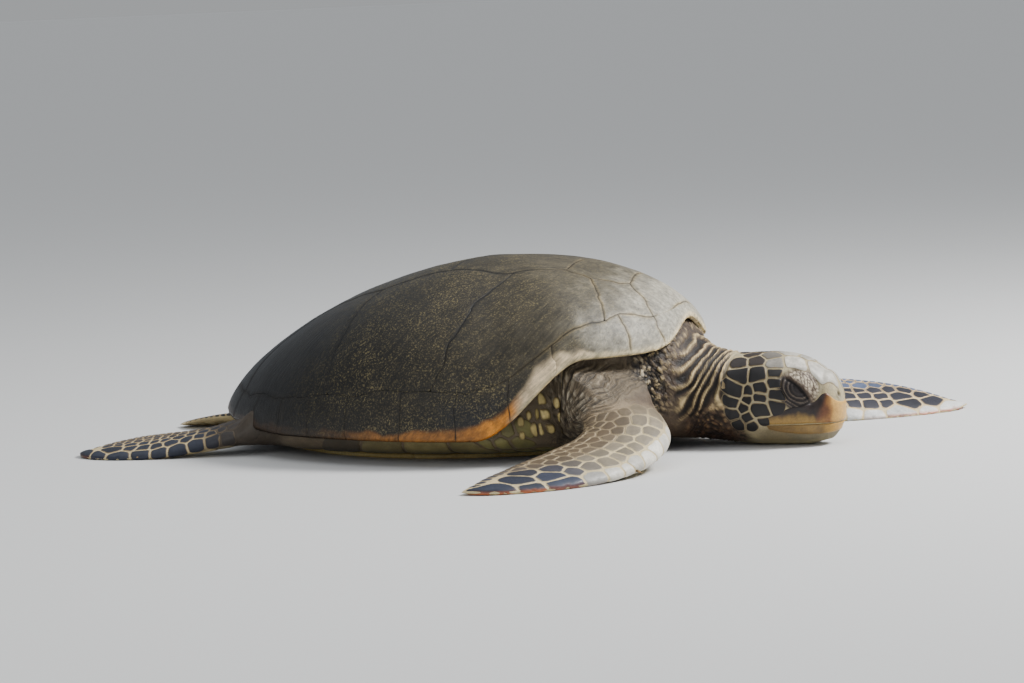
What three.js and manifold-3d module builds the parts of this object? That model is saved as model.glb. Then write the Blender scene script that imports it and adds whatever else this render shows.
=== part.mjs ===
// A green sea turtle lying on the ground, life size, as a still display model.
// Millimetres, +Z up, +X towards the snout, +Y to the animal's left. The floor is z = 0
// and the origin is on the flat underside of the plastron, on the animal's mid line.
import * as THREE from 'three';
import { ParametricGeometry } from 'three/addons/geometries/ParametricGeometry.js';
import { mergeVertices } from 'three/addons/utils/BufferGeometryUtils.js';
import Module from 'manifold-3d';

const wasm = await Module();
wasm.setup();

// ---- driving dimensions ----
const seamGap = 0.3;              // clearance between neighbouring pieces
const shell = {
  crownX: 23,                     // highest point of the carapace
  crownHeight: 300,
  frontReach: 326,                // crown to front rim
  rearReach: 480,                 // crown to rear rim
  halfWidth: 307,
  rearTaper: 0.137,               // narrowing of the outline behind
  nuchalNotch: 16,                // dip of the outline over the neck
  sideRim: 40,                    // height of the free edge at the flanks
  shoulderRise: 118,              // how far the edge climbs over the shoulders
  neckArch: 42,                   // further rise over the neck
  rearLift: 25,                   // rise of the edge at the tail
  thickness: 9,
  bedGap: 1,                      // room between the plates and the flesh beneath
  fleshDepth: 13,                 // from the outer surface of the plates to the plain trunk
  focus: new THREE.Vector3(-40, 0, 60),  // every plate's walls point here
};
const belly = {                   // underside of the trunk, and the plastron set into it
  flatLimit: 0.62,                // share of the way out at which it starts to turn up
  frontCut: 0.12,                 // how much sooner it does so in front
  inset: 0.985,                   // its width as a share of the carapace's
  underRim: 6,                    // how far below the rim it ends
  turnUp: 1.6,                    // power of its rise
  lift: 4,
  thickness: 9,
  front: 246,
  seam: -60,
  rear: -335,
  halfWidth: 206,
  endHalfWidth: 12,
};
const eye = { x: 512, side: 38, z: 92, radius: 18 };
const shoulder = { x: 232, side: 158, z: 98, size: [84, 74, 56] };
const mouth = 36;                 // height of the mouth line

const radians = THREE.MathUtils.degToRad;
const smooth = (value, start, end) => THREE.MathUtils.smoothstep(value, start, end);
const mix = THREE.MathUtils.lerp;

// ---- carapace: a dome over a disc, u forward and v to the left, with radius 1 at the rim ----
function rimHeight(angle) {
  const degrees = THREE.MathUtils.radToDeg(Math.abs(angle));
  const shoulder = shell.shoulderRise * (1 - smooth(degrees, 48, 80));
  const neck = shell.neckArch * Math.exp(-((degrees / 14) ** 2));
  const rear = shell.rearLift * smooth(degrees, 125, 180);
  return shell.sideRim + shoulder + neck + rear;
}

function rimPoint(angle) {
  const front = Math.max(Math.cos(angle), 0);
  const rear = Math.max(-Math.cos(angle), 0);
  const notch = shell.nuchalNotch * Math.exp(-((angle / 0.3) ** 2));
  const x = shell.crownX + shell.frontReach * front - shell.rearReach * rear - notch;
  const y = shell.halfWidth * Math.sin(angle) * (1 - shell.rearTaper * rear ** 2);
  return new THREE.Vector3(x, y, rimHeight(angle));
}

// spread sets how the dome widens from the crown, fall sets how it drops, each blended
// between its front, side and rear value
function domeShares(angle) {
  const front = Math.max(Math.cos(angle), 0) ** 2;
  const rear = Math.max(-Math.cos(angle), 0) ** 2;
  const side = 1 - front - rear;
  return {
    spread: 0.874 * front + 0.921 * side + 1.208 * rear,
    fall: 1.15 * front + 0.978 * side + 1.407 * rear,
  };
}

function shellPoint(u, v) {
  const reach = Math.min(Math.hypot(u, v), 0.99999);
  const angle = Math.atan2(v, u);
  const edge = rimPoint(angle);
  const shares = domeShares(angle);
  const across = Math.sin((Math.PI / 2) * reach) ** shares.spread;
  const up = Math.cos((Math.PI / 2) * reach) ** shares.fall;
  const x = mix(shell.crownX, edge.x, across);
  const y = edge.y * across;
  const z = mix(edge.z, shell.crownHeight, up);
  return new THREE.Vector3(x, y, z);
}

// underside of the trunk: flat on the floor in the middle, turning up to the rim
function bellyPoint(u, v) {
  const reach = Math.min(Math.hypot(u, v), 0.99999);
  const angle = Math.atan2(v, u);
  const edge = rimPoint(angle);
  const start = belly.flatLimit - belly.frontCut * Math.max(Math.cos(angle), 0);
  const across = belly.inset * Math.sin((Math.PI / 2) * reach) ** domeShares(angle).spread;
  const rise = Math.max((reach - start) / (1 - start), 0) ** belly.turnUp;
  const z = mix(belly.lift, edge.z - belly.underRim, rise);
  return new THREE.Vector3(mix(shell.crownX, edge.x, across), edge.y * across, z);
}

// ---- solids ----
function solidFrom(geometry) {
  geometry.deleteAttribute('normal');
  geometry.deleteAttribute('uv');
  const merged = mergeVertices(geometry, 1e-3);
  const index = merged.index.array;
  const kept = [];
  for (let i = 0; i < index.length; i += 3) {
    const [a, b, c] = [index[i], index[i + 1], index[i + 2]];
    if (a !== b && b !== c && c !== a) {
      kept.push(a, b, c);
    }
  }
  const mesh = new wasm.Mesh({
    numProp: 3,
    vertProperties: new Float32Array(merged.attributes.position.array),
    triVerts: new Uint32Array(kept),
  });
  mesh.merge();
  const solid = new wasm.Manifold(mesh);
  return solid.volume() < 0 ? turnedOut(geometry) : solid;
}

function turnedOut(geometry) {
  const turned = geometry.clone();
  const index = turned.index.array;
  for (let i = 0; i < index.length; i += 3) {
    [index[i + 1], index[i + 2]] = [index[i + 2], index[i + 1]];
  }
  return solidFrom(turned);
}

function box(size, centre, turn = new THREE.Euler()) {
  const geometry = new THREE.BoxGeometry(...size);
  geometry.applyQuaternion(new THREE.Quaternion().setFromEuler(turn));
  return solidFrom(geometry.translate(...centre));
}

function ball(radius, centre, squash = [1, 1, 1]) {
  const geometry = new THREE.SphereGeometry(radius, 14, 8);
  return solidFrom(geometry.scale(...squash).translate(...centre));
}

// A tube through stations of centre, half width, half depth, tilt and lead: each section is
// a rounded shape across the path, and both ends close on the path itself. The trailing
// edge is thinner than the leading one by edgeShare.
function limb(stations, around, along, edgeShare = 0.3) {
  const path = new THREE.CatmullRomCurve3(stations.map((s) => new THREE.Vector3(...s.at)));
  const value = (name, t) => {
    const place = t * (stations.length - 1);
    const i = Math.min(Math.floor(place), stations.length - 2);
    return mix(stations[i][name], stations[i + 1][name], place - i);
  };
  return solidFrom(new ParametricGeometry((u, t, target) => {
    const turn = u * 2 * Math.PI;
    const tangent = path.getTangent(t);
    const across = new THREE.Vector3().crossVectors(tangent, new THREE.Vector3(0, 0, 1)).normalize();
    across.applyAxisAngle(tangent, radians(value('tilt', t)));
    const up = new THREE.Vector3().crossVectors(across, tangent);
    const closing = t === 0 || t === 1 ? 0 : 1;
    const side = Math.cos(turn);
    const lead = 1 - edgeShare + edgeShare * side * value('lead', t);
    target.copy(path.getPoint(t));
    target.addScaledVector(across, closing * value('wide', t) * side);
    target.addScaledVector(up, closing * value('deep', t) * Math.sin(turn) * lead);
  }, around, along));
}

// The head and neck as one tube of upright sections along X
function headTube(around, along) {
  const stations = [
    { x: 215, wide: 118, top: 160, bottom: 14 },
    { x: 300, wide: 104, top: 168, bottom: 12 },
    { x: 345, wide: 88, top: 157, bottom: 10 },
    { x: 385, wide: 76, top: 145, bottom: 6 },
    { x: 425, wide: 69, top: 143, bottom: 2 },
    { x: 465, wide: 69, top: 144, bottom: -2 },
    { x: 500, wide: 62, top: 141, bottom: -2 },
    { x: 528, wide: 52, top: 132, bottom: 0 },
    { x: 550, wide: 40, top: 118, bottom: 5 },
    { x: 566, wide: 27, top: 100, bottom: 13 },
    { x: 576, wide: 12, top: 76, bottom: 27 },
  ];
  const curve = new THREE.CatmullRomCurve3(stations.map((s) => new THREE.Vector3(s.x, s.top, s.bottom)));
  const widths = new THREE.SplineCurve(stations.map((s, i) => new THREE.Vector2(i, s.wide)));
  return solidFrom(new ParametricGeometry((u, t, target) => {
    const turn = u * 2 * Math.PI;
    const section = curve.getPoint(t);
    const half = (section.y - section.z) / 2;
    const closing = t === 0 || t === 1 ? 0 : 1;
    const rounded = (value) => Math.sign(value) * Math.abs(value) ** 0.86;
    const y = closing * widths.getPoint(t).y * rounded(Math.cos(turn));
    const z = (section.y + section.z) / 2 + closing * half * rounded(Math.sin(turn));
    target.set(section.x, y, z);
  }, around, along));
}

// ---- plates: a closed piece over a polygon of the disc ----
// Its walls all point at one focus inside the body, so the walls of two neighbours are
// parallel planes. The border runs anticlockwise and shares its corners with the neighbours.
function plate(border, rise, thickness, gap) {
  const n = border.length;
  const middle = border.reduce((sum, p) => sum.add(p), new THREE.Vector2()).divideScalar(n);
  const edge = border.map((p) => shellPoint(p.x, p.y));
  const away = (p) => p.clone().sub(shell.focus).normalize();
  const inward = edge.map((p, i) => away(p).cross(edge[(i + 1) % n].clone().sub(p)).normalize());
  const insets = edge.map((p, i) => {
    const before = inward[(i + n - 1) % n];
    const sum = before.clone().add(inward[i]);
    return sum.multiplyScalar(gap / (2 * (1 + before.dot(inward[i]))));
  });
  const rings = [[0, -rise], [0.55, -rise], [1, -rise], [1, thickness], [0, thickness]];
  return solidFrom(new ParametricGeometry((u, t, target) => {
    const i = Math.round(u * n) % n;
    const [share, depth] = rings[Math.round(t * (rings.length - 1))];
    const place = middle.clone().lerp(border[i], share);
    target.copy(shellPoint(place.x, place.y));
    target.addScaledVector(away(target), -depth);
    if (share === 1) target.add(insets[i]);
  }, n, rings.length - 1));
}

// ring between costals and marginals, as a share of the way from crown to rim
function marginRing(angle) {
  const degrees = Math.abs(THREE.MathUtils.radToDeg(angle));
  return 0.82 - 0.12 * Math.exp(-(((degrees - 33) / 17) ** 2));
}

const marginalSeams = [20, 34, 57, 70, 85, 98, 110, 120, 130, 141, 153, 166, 180].map(radians);
const costalSeams = [39.5, 92, 116, 152].map(radians);
const nuchalBend = radians(14);   // where the nuchal's rear edge turns forward
// left corners of the vertebral row on the disc: narrow at its own cross seams and wide
// where a costal seam comes in
const vertebrals = {
  crossSeams: [[0.50, 0.12], [0.25, 0.17], [-0.07, 0.20], [-0.40, 0.17]],
  corners: [[0.36, 0.20], [0.12, 0.245], [-0.24, 0.25], [-0.56, 0.21]],
};
const longStep = { onRing: radians(13), onSeam: 0.24 };  // longer border steps are halved

const disc = (reach, angle) => new THREE.Vector2(reach * Math.cos(angle), reach * Math.sin(angle));
const onRing = (angle) => disc(marginRing(angle), angle);

// every junction on the ring, plus steps between, so both sides meet vertex to vertex
function ringAngles() {
  const fixed = [0, nuchalBend, ...marginalSeams, ...costalSeams].sort((a, b) => a - b);
  const all = [];
  for (let i = 0; i < fixed.length; i += 1) {
    all.push(fixed[i]);
    if (i + 1 < fixed.length && fixed[i + 1] - fixed[i] > longStep.onRing) {
      all.push((fixed[i] + fixed[i + 1]) / 2);
    }
  }
  return all;
}
const ringSteps = ringAngles();
const arc = (from, to, place) => {
  const steps = ringSteps.filter((a) => a >= from - 1e-9 && a <= to + 1e-9);
  return steps.map(place);
};

function divided(a, b, parts) {
  const points = [];
  for (let i = 0; i < parts; i += 1) {
    points.push(a.clone().lerp(b, i / parts));
  }
  return points;
}

// closes a list of corners into a border, with long straight edges divided in two
function borderOf(corners) {
  return corners.flatMap((p, i) => {
    const next = corners[(i + 1) % corners.length];
    return divided(p, next, p.distanceTo(next) > longStep.onSeam ? 2 : 1);
  });
}

const mirrored = (points) => points.map((p) => new THREE.Vector2(p.x, -p.y)).reverse();
const vector = ([u, v]) => new THREE.Vector2(u, v);

function plateBorders() {
  const borders = {};
  const seams = vertebrals.crossSeams.map(vector);
  const corners = vertebrals.corners.map(vector);
  const flip = (p) => new THREE.Vector2(p.x, -p.y);
  const across = (left) => [...left, ...mirrored(left)];
  // vertebrals, their left halves from front to rear
  const firstLeft = [...arc(0, marginalSeams[0], onRing).slice(1), seams[0]];
  borders.vertebral_1 = borderOf([onRing(0), ...across(firstLeft)]);
  for (let i = 0; i < 3; i += 1) {
    borders[`vertebral_${i + 2}`] = borderOf(across([seams[i], corners[i], seams[i + 1]]));
  }
  const tail = arc(costalSeams[3], Math.PI, onRing);
  borders.vertebral_5 = borderOf([
    ...[seams[3], corners[3]], ...tail, ...mirrored([corners[3], ...tail.slice(0, -1)]), flip(seams[3]),
  ]);
  // costals of the left side
  const left = {};
  left.costal_1 = [...arc(marginalSeams[0], costalSeams[0], onRing), corners[0], seams[0]];
  left.costal_2 = [...arc(costalSeams[0], costalSeams[1], onRing), corners[1], seams[1], corners[0]];
  left.costal_3 = [...arc(costalSeams[1], costalSeams[2], onRing), corners[2], seams[2], corners[1]];
  left.costal_4 = [...arc(costalSeams[2], costalSeams[3], onRing), corners[3], seams[3], corners[2]];
  // marginals of the left side
  for (let i = 0; i < 12; i += 1) {
    const [from, to] = [marginalSeams[i], marginalSeams[i + 1]];
    const outer = arc(from, to, (angle) => disc(1, angle));
    const inner = arc(from, to, onRing);
    left[`marginal_${i + 1}`] = [...outer, ...inner.reverse()];
  }
  for (const [name, points] of Object.entries(left)) {
    const [kind, number] = name.split('_');
    borders[`${kind}_left_${number}`] = borderOf(points);
    borders[`${kind}_right_${number}`] = borderOf(mirrored(points));
  }
  const noseArc = arc(0, marginalSeams[0], (angle) => disc(1, angle));
  const backArc = arc(0, marginalSeams[0], onRing);
  borders.nuchal = borderOf([
    ...mirrored(noseArc.slice(1)), ...noseArc, ...[...backArc].reverse(), ...backArc.slice(1).map(flip),
  ]);
  return borders;
}

// ---- build ----
const colours = {
  carapace: { color: 0x4a4433, roughness: 0.6, metalness: 0 },
  margin: { color: 0x8a7040, roughness: 0.55, metalness: 0 },
  plastron: { color: 0xcfc08a, roughness: 0.55, metalness: 0 },
  skin: { color: 0x5e564a, roughness: 0.75, metalness: 0 },
  beak: { color: 0xa8824a, roughness: 0.4, metalness: 0 },
  eye: { color: 0x17120d, roughness: 0.15, metalness: 0 },
  claw: { color: 0x3a3027, roughness: 0.4, metalness: 0 },
};

const model = new THREE.Group();

function addNode(name, solid, finish) {
  const { vertProperties, triVerts, numProp } = solid.getMesh();
  const geometry = new THREE.BufferGeometry();
  const positions = new Float32Array((vertProperties.length / numProp) * 3);
  for (let i = 0; i < positions.length / 3; i += 1) {
    positions.set(vertProperties.subarray(i * numProp, i * numProp + 3), i * 3);
  }
  geometry.setAttribute('position', new THREE.BufferAttribute(positions, 3));
  geometry.setIndex(new THREE.BufferAttribute(new Uint32Array(triVerts), 1));
  geometry.computeVertexNormals();
  const mesh = new THREE.Mesh(geometry, new THREE.MeshStandardMaterial(colours[finish]));
  mesh.name = name;
  model.add(mesh);
}

const join = (solids) => solids.reduce((sum, solid) => sum.add(solid));

// carapace plates, and the slightly larger copies that hollow the trunk beneath them
const plateCutters = [];
for (const [name, border] of Object.entries(plateBorders())) {
  const finish = name.includes('marginal') ? 'margin' : 'carapace';
  addNode(name, plate(border, 0, shell.thickness, seamGap), finish);
  plateCutters.push(plate(border, shell.bedGap, shell.thickness + shell.bedGap, -shell.bedGap));
}

// trunk between carapace and plastron
function trunkPoint(u, t, target) {
  const angle = u * 2 * Math.PI;
  if (t <= 0.5) {
    const upper = disc(t * 2, angle);
    target.copy(shellPoint(upper.x, upper.y));
    target.addScaledVector(target.clone().sub(shell.focus).normalize(), -shell.fleshDepth);
    return;
  }
  const lower = disc((1 - t) * 2, angle);
  target.copy(bellyPoint(lower.x, lower.y));
}

const plastronHalf = (x) => {
  const share = (x - belly.rear) / (belly.front - belly.rear);
  const bridge = Math.sin(Math.PI * Math.min(Math.max(share, 0), 1)) ** 0.4;
  const wide = bridge * (0.8 + 0.2 * Math.sin(Math.PI * share));
  return belly.endHalfWidth + (belly.halfWidth - belly.endHalfWidth) * wide;
};

// one plate of the plastron, between two cross seams
function plastronPlate(from, to, grow) {
  const steps = 8;
  const outline = new THREE.Shape();
  const edgeAt = (i) => mix(from - grow, to + grow, i / steps);
  outline.moveTo(edgeAt(0), plastronHalf(edgeAt(0)) + grow);
  for (let i = 1; i <= steps; i += 1) {
    outline.lineTo(edgeAt(i), plastronHalf(edgeAt(i)) + grow);
  }
  for (let i = steps; i >= 0; i -= 1) {
    outline.lineTo(edgeAt(i), -plastronHalf(edgeAt(i)) - grow);
  }
  const options = { depth: belly.thickness + grow, bevelEnabled: false };
  return solidFrom(new THREE.ExtrudeGeometry(outline, options));
}

const sides = { left: 1, right: -1 };

// Stations of a limb's centre line: half width, half depth, tilt about the line in degrees,
// and lead, which puts the thick edge on the animal's left (1) or right (-1) of the line.
const fore = {
  left: [
    { at: [185, 118, 88], wide: 66, deep: 58, tilt: 0, lead: 0 },
    { at: [262, 200, 86], wide: 66, deep: 52, tilt: 6, lead: 0 },
    { at: [338, 252, 58], wide: 64, deep: 42, tilt: 14, lead: 0.3 },
    { at: [412, 292, 38], wide: 66, deep: 27, tilt: 22, lead: 0.7 },
    { at: [492, 336, 28], wide: 67, deep: 17, tilt: 25, lead: 1 },
    { at: [566, 384, 20], wide: 58, deep: 12, tilt: 23, lead: 1 },
    { at: [620, 426, 12], wide: 38, deep: 9, tilt: 18, lead: 1 },
    { at: [655, 458, 6], wide: 9, deep: 4, tilt: 5, lead: 1 },
  ],
  right: [
    { at: [185, -118, 88], wide: 66, deep: 58, tilt: 0, lead: 0 },
    { at: [258, -202, 86], wide: 66, deep: 52, tilt: -4, lead: 0 },
    { at: [314, -268, 55], wide: 66, deep: 42, tilt: -9, lead: -0.3 },
    { at: [320, -338, 35], wide: 66, deep: 27, tilt: -13, lead: -0.7 },
    { at: [296, -420, 23], wide: 66, deep: 17, tilt: -14, lead: -1 },
    { at: [254, -496, 15], wide: 56, deep: 12, tilt: -13, lead: -1 },
    { at: [208, -552, 9], wide: 37, deep: 9, tilt: -10, lead: -1 },
    { at: [172, -584, 5], wide: 9, deep: 4, tilt: -4, lead: -1 },
  ],
};

const hind = (side) => [
  { at: [-285, side * 105, 52], wide: 58, deep: 40, tilt: 0, lead: 0 },
  { at: [-360, side * 135, 40], wide: 52, deep: 32, tilt: side * 4, lead: 0 },
  { at: [-430, side * 160, 26], wide: 45, deep: 22, tilt: side * 10, lead: side * 0.4 },
  { at: [-500, side * 180, 18], wide: 50, deep: 15, tilt: side * 14, lead: side * 0.8 },
  { at: [-565, side * 190, 13], wide: 52, deep: 11, tilt: side * 12, lead: side },
  { at: [-615, side * 188, 9], wide: 40, deep: 8, tilt: side * 9, lead: side },
  { at: [-648, side * 182, 5], wide: 12, deep: 4, tilt: side * 3, lead: side },
];

const tailStations = [
  { at: [-330, 0, 42], wide: 46, deep: 34, tilt: 0, lead: 0 },
  { at: [-400, 0, 30], wide: 30, deep: 24, tilt: 0, lead: 0 },
  { at: [-450, 0, 18], wide: 18, deep: 15, tilt: 0, lead: 0 },
  { at: [-485, 0, 9], wide: 8, deep: 7, tilt: 0, lead: 0 },
];

let flesh = join([
  solidFrom(new ParametricGeometry(trunkPoint, 36, 12)),
  headTube(18, 20),
  limb(fore.left, 14, 18),
  limb(fore.right, 14, 18),
  limb(hind(1), 12, 13),
  limb(hind(-1), 12, 13),
  limb(tailStations, 10, 6, 0),
  ball(1, [shoulder.x, shoulder.side, shoulder.z], shoulder.size),
  ball(1, [shoulder.x, -shoulder.side, shoulder.z], shoulder.size),
]);

// everything below the floor is taken off, which leaves the flats that the animal lies on
flesh = flesh.subtract(box([1600, 1600, 200], [0, 0, -100]));
for (const cutter of plateCutters) flesh = flesh.subtract(cutter);
const plastron = {
  plastron_front: [belly.seam + seamGap, belly.front],
  plastron_rear: [belly.rear, belly.seam],
};
for (const [name, ends] of Object.entries(plastron)) {
  addNode(name, plastronPlate(...ends, 0), 'plastron');
  flesh = flesh.subtract(plastronPlate(...ends, seamGap));
}

for (const [name, side] of Object.entries(sides)) {
  const centre = [eye.x, side * eye.side, eye.z];
  addNode(`eye_${name}`, ball(eye.radius, centre), 'eye');
  flesh = flesh.subtract(ball(eye.radius + seamGap, centre));
}

// horny beak: the front of both jaws, cut from the head along the mouth line
function beakRegion(corners, grow) {
  const shape = new THREE.Shape(corners.map(([x, z]) => new THREE.Vector2(x, z)));
  const geometry = new THREE.ExtrudeGeometry(shape, { depth: 160 + grow, bevelEnabled: false });
  return solidFrom(geometry.rotateX(Math.PI / 2).translate(0, 80 + grow / 2, 0));
}

const beaks = {
  upper_beak: [[600, mouth], [600, 72], [556, 70], [536, 56], [505, 48], [468, 43], [466, mouth]],
  lower_beak: [[600, mouth - seamGap], [468, mouth - seamGap], [476, 20], [505, 10], [540, 8], [600, 8]],
};
for (const [name, corners] of Object.entries(beaks)) {
  addNode(name, flesh.intersect(beakRegion(corners, 0)), 'beak');
}
// both jaws together, wider by the gap, to clear them from the head
const clearance = [
  [620, 8 - seamGap], [620, 72 + seamGap], [556, 70 + seamGap], [536, 56 + seamGap],
  [505, 48 + seamGap], [468, 43 + seamGap], [466 - seamGap, mouth], [476 - seamGap, 20],
  [505, 10 - seamGap], [540, 8 - seamGap],
];
flesh = flesh.subtract(beakRegion(clearance, 10));

// one claw on the leading edge of each flipper, its root seated in the edge
const claw = { radius: 4.5, length: 22, fore: 12, hind: 7 };
const claws = {
  claw_fore_left: [[484, 258, claw.fore], [0.62, -0.78, -0.05]],
  claw_fore_right: [[372, -396, claw.fore], [0.88, -0.45, -0.1]],
  claw_hind_left: [[-520, 228, claw.hind], [-0.42, 0.9, 0]],
  claw_hind_right: [[-520, -228, claw.hind], [-0.42, -0.9, 0]],
};

function clawSolid([place, direction], grow) {
  const geometry = new THREE.ConeGeometry(claw.radius + grow, claw.length + 4 * grow, 9, 2);
  const pointing = new THREE.Vector3(...direction).normalize();
  geometry.applyQuaternion(new THREE.Quaternion().setFromUnitVectors(new THREE.Vector3(0, 1, 0), pointing));
  return solidFrom(geometry.translate(...place));
}

for (const [name, seat] of Object.entries(claws)) {
  addNode(name, clawSolid(seat, 0), 'claw');
  flesh = flesh.subtract(clawSolid(seat, seamGap));
}

// limbs, head, neck and tail are parted from the trunk with thin straight cuts
function largest(solid) {
  return solid.decompose().sort((a, b) => b.volume() - a.volume())[0];
}

// a block that starts at a cut face through a point and runs on in a direction of the plan
function blockFrom({ from: [x, y], degrees, length, width, top = 300 }, grow = 0) {
  const turn = radians(degrees);
  const size = [length + 2 * grow, width + 2 * grow, 2 * (top + grow)];
  const centre = [x + (Math.cos(turn) * length) / 2, y + (Math.sin(turn) * length) / 2, 0];
  return box(size, centre, new THREE.Euler(0, 0, turn));
}

const cuts = {
  head: { from: [405, 0], degrees: 0, length: 240, width: 200 },
  neck: { from: [318, 0], degrees: 0, length: 120, width: 236 },
  blade_left: { from: [412, 292], degrees: 28, length: 300, width: 300 },
  arm_left: { from: [258, 202], degrees: 38, length: 220, width: 210 },
  blade_right: { from: [314, -336], degrees: -106, length: 300, width: 300 },
  arm_right: { from: [258, -202], degrees: -46, length: 220, width: 220 },
  tail: { from: [-385, 0], degrees: 180, length: 160, width: 84, top: 46 },
  leg_left: { from: [-385, 142], degrees: 160, length: 300, width: 180 },
  leg_right: { from: [-385, -142], degrees: -160, length: 300, width: 180 },
};
for (const [name, cut] of Object.entries(cuts)) {
  addNode(name, largest(flesh.intersect(blockFrom(cut))), 'skin');
  flesh = flesh.subtract(blockFrom(cut, seamGap));
}
addNode('trunk', largest(flesh), 'skin');

export default model;
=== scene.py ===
import math
import bpy
import numpy as np
from mathutils import Matrix, Vector


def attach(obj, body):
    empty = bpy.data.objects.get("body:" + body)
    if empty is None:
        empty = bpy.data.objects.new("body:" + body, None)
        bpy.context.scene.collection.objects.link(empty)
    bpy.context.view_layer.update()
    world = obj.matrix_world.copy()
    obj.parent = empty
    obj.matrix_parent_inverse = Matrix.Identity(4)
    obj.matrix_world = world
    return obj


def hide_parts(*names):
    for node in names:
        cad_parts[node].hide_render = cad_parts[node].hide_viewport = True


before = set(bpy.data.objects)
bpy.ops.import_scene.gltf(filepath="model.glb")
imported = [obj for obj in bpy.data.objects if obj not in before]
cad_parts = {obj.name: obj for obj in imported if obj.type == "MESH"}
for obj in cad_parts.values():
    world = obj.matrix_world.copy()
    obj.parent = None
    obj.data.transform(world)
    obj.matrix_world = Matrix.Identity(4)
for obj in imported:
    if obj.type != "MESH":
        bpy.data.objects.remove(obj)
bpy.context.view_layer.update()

print("stage: frame loaded")


def smooth(value, start, end):
    # 3t^2 - 2t^3, where t runs from 0 at start to 1 at end
    t = np.clip((value - start) / (end - start), 0, 1)
    return t * t * (3 - 2 * t)


def fading(value, start, end):
    # 1 at start, falling to 0 at end
    return 1 - smooth(value, start, end)


def plateau(value, start, full, still, end):
    # rises from 0 at start to 1 at full, and falls from 1 at still to 0 at end
    return smooth(value, start, full) * fading(value, still, end)


def hill(value, middle, width, power=2):
    # exp(-(distance from the middle / width)^power)
    return np.exp(-(np.abs((value - middle) / width) ** power))


def mix(a, b, share):
    # a at share 0, b at share 1
    return a + (b - a) * share


def unit(vectors):
    # each vector over its own length
    return vectors / np.linalg.norm(vectors, axis=-1, keepdims=True)


def through(places, values, x):
    # the cubic through the stations, whose slope at each comes from its neighbours
    places, values = np.asarray(places, float), np.asarray(values, float)
    x = np.clip(x, places[0], places[-1])
    slopes = np.gradient(values, places, axis=0)
    i = np.clip(np.searchsorted(places, x, side="right") - 1, 0, len(places) - 2)
    span = places[i + 1] - places[i]
    t = (x - places[i]) / span
    if values.ndim == 2:
        span, t = span[..., None], t[..., None]
    return cubic(t, values[i], values[i + 1], span * slopes[i], span * slopes[i + 1])


def cubic(t, start, end, leave, arrive):
    # from start at t = 0 to end at t = 1, leaving and arriving at the given speeds
    first = (1 + 2 * t) * (1 - t) ** 2 * start + t * (1 - t) ** 2 * leave
    return first + t * t * (3 - 2 * t) * end + t * t * (t - 1) * arrive


def sidesOf(loop):
    # from each corner of the closed loop to the next
    return np.linalg.norm(np.roll(loop, -1, -2) - loop, axis=-1)


def lengthAlong(loop):
    # length so far at each corner, and at the first one again
    return np.concatenate([[0], np.cumsum(sidesOf(loop))])


def sampled(wanted, along, table):
    # each column of the table at the wanted lengths
    return np.stack([np.interp(wanted, along, column) for column in table.T], -1)


def pointsAlong(loop, along, wanted):
    # the closed loop's points at the wanted lengths
    return sampled(wanted, along, np.concatenate([loop, loop[:1]]))


def evenRing(loop, fractions):
    # the closed loop's points at these fractions of its length
    along = lengthAlong(loop)
    return pointsAlong(loop, along, fractions * along[-1])


def hashed(cells, seed):
    # a fixed share in 0..1 for each whole-number cell: the fraction of a large sine
    value = np.sin(cells @ np.array([127.1, 311.7, 74.7]) + seed * 53.3) * 43758.5453
    return value - np.floor(value)


def lumps(points, size, seed=0):
    # value noise in -1..1: hashed shares at the corners of cubes, blended smoothly between
    p = np.asarray(points, float) / size
    base = np.floor(p)
    part = p - base
    part = part * part * (3 - 2 * part)
    total = 0
    for corner in np.ndindex(2, 2, 2):
        step = np.array(corner)
        weight = np.prod(np.where(step, part, 1 - part), axis=-1)
        total = total + weight * hashed(base + step, seed)
    return 2 * total - 1


def pebbles(points, size, seed=0):
    # one random spot per cube: distance to the second nearest less that to the nearest,
    # which is 0 on the borders between pebbles and near 1 in their middles
    p = np.asarray(points, float) / size
    base = np.floor(p)
    near = np.full(p.shape[:-1], 9.0)
    second = near.copy()
    for offset in np.ndindex(3, 3, 3):
        cell = base + np.array(offset) - 1
        spot = cell + np.stack([hashed(cell, seed + k) for k in (1, 2, 3)], -1)
        away = np.linalg.norm(spot - p, axis=-1)
        second = np.minimum(second, np.maximum(near, away))
        near = np.minimum(near, away)
    return second - near


def tone(red, green, blue):
    # screen colour 0..255 to linear light
    value = np.array([red, green, blue]) / 255
    return np.where(value <= 0.04045, value / 12.92, ((value + 0.055) / 1.055) ** 2.4)


def tones(colours):
    # the same for each colour of a dictionary
    return {key: tone(*value) for key, value in colours.items()}


def tinted(shares, *colours):
    # starts with the first colour and lays each next one over it by its share
    result = np.broadcast_to(colours[0], (*np.shape(shares[0]), 3)).copy()
    for share, colour in zip(shares, colours[1:]):
        result = mix(result, colour, np.asarray(share)[..., None])
    return result


def covered(colour, over, share):
    # the colours with another laid over by each point's share
    return mix(colour, over, share[:, None])


def ringFaces(rows, columns):
    # corners (row, column) of the quads between neighbouring rings of a closed tube
    row, column = np.meshgrid(np.arange(rows - 1), np.arange(columns), indexing="ij")
    rowCorners = np.stack([row, row, row + 1, row + 1], -1).reshape(-1, 4)
    columnCorners = np.stack([column, column + 1, column + 1, column], -1).reshape(-1, 4)
    return rowCorners, columnCorners


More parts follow.
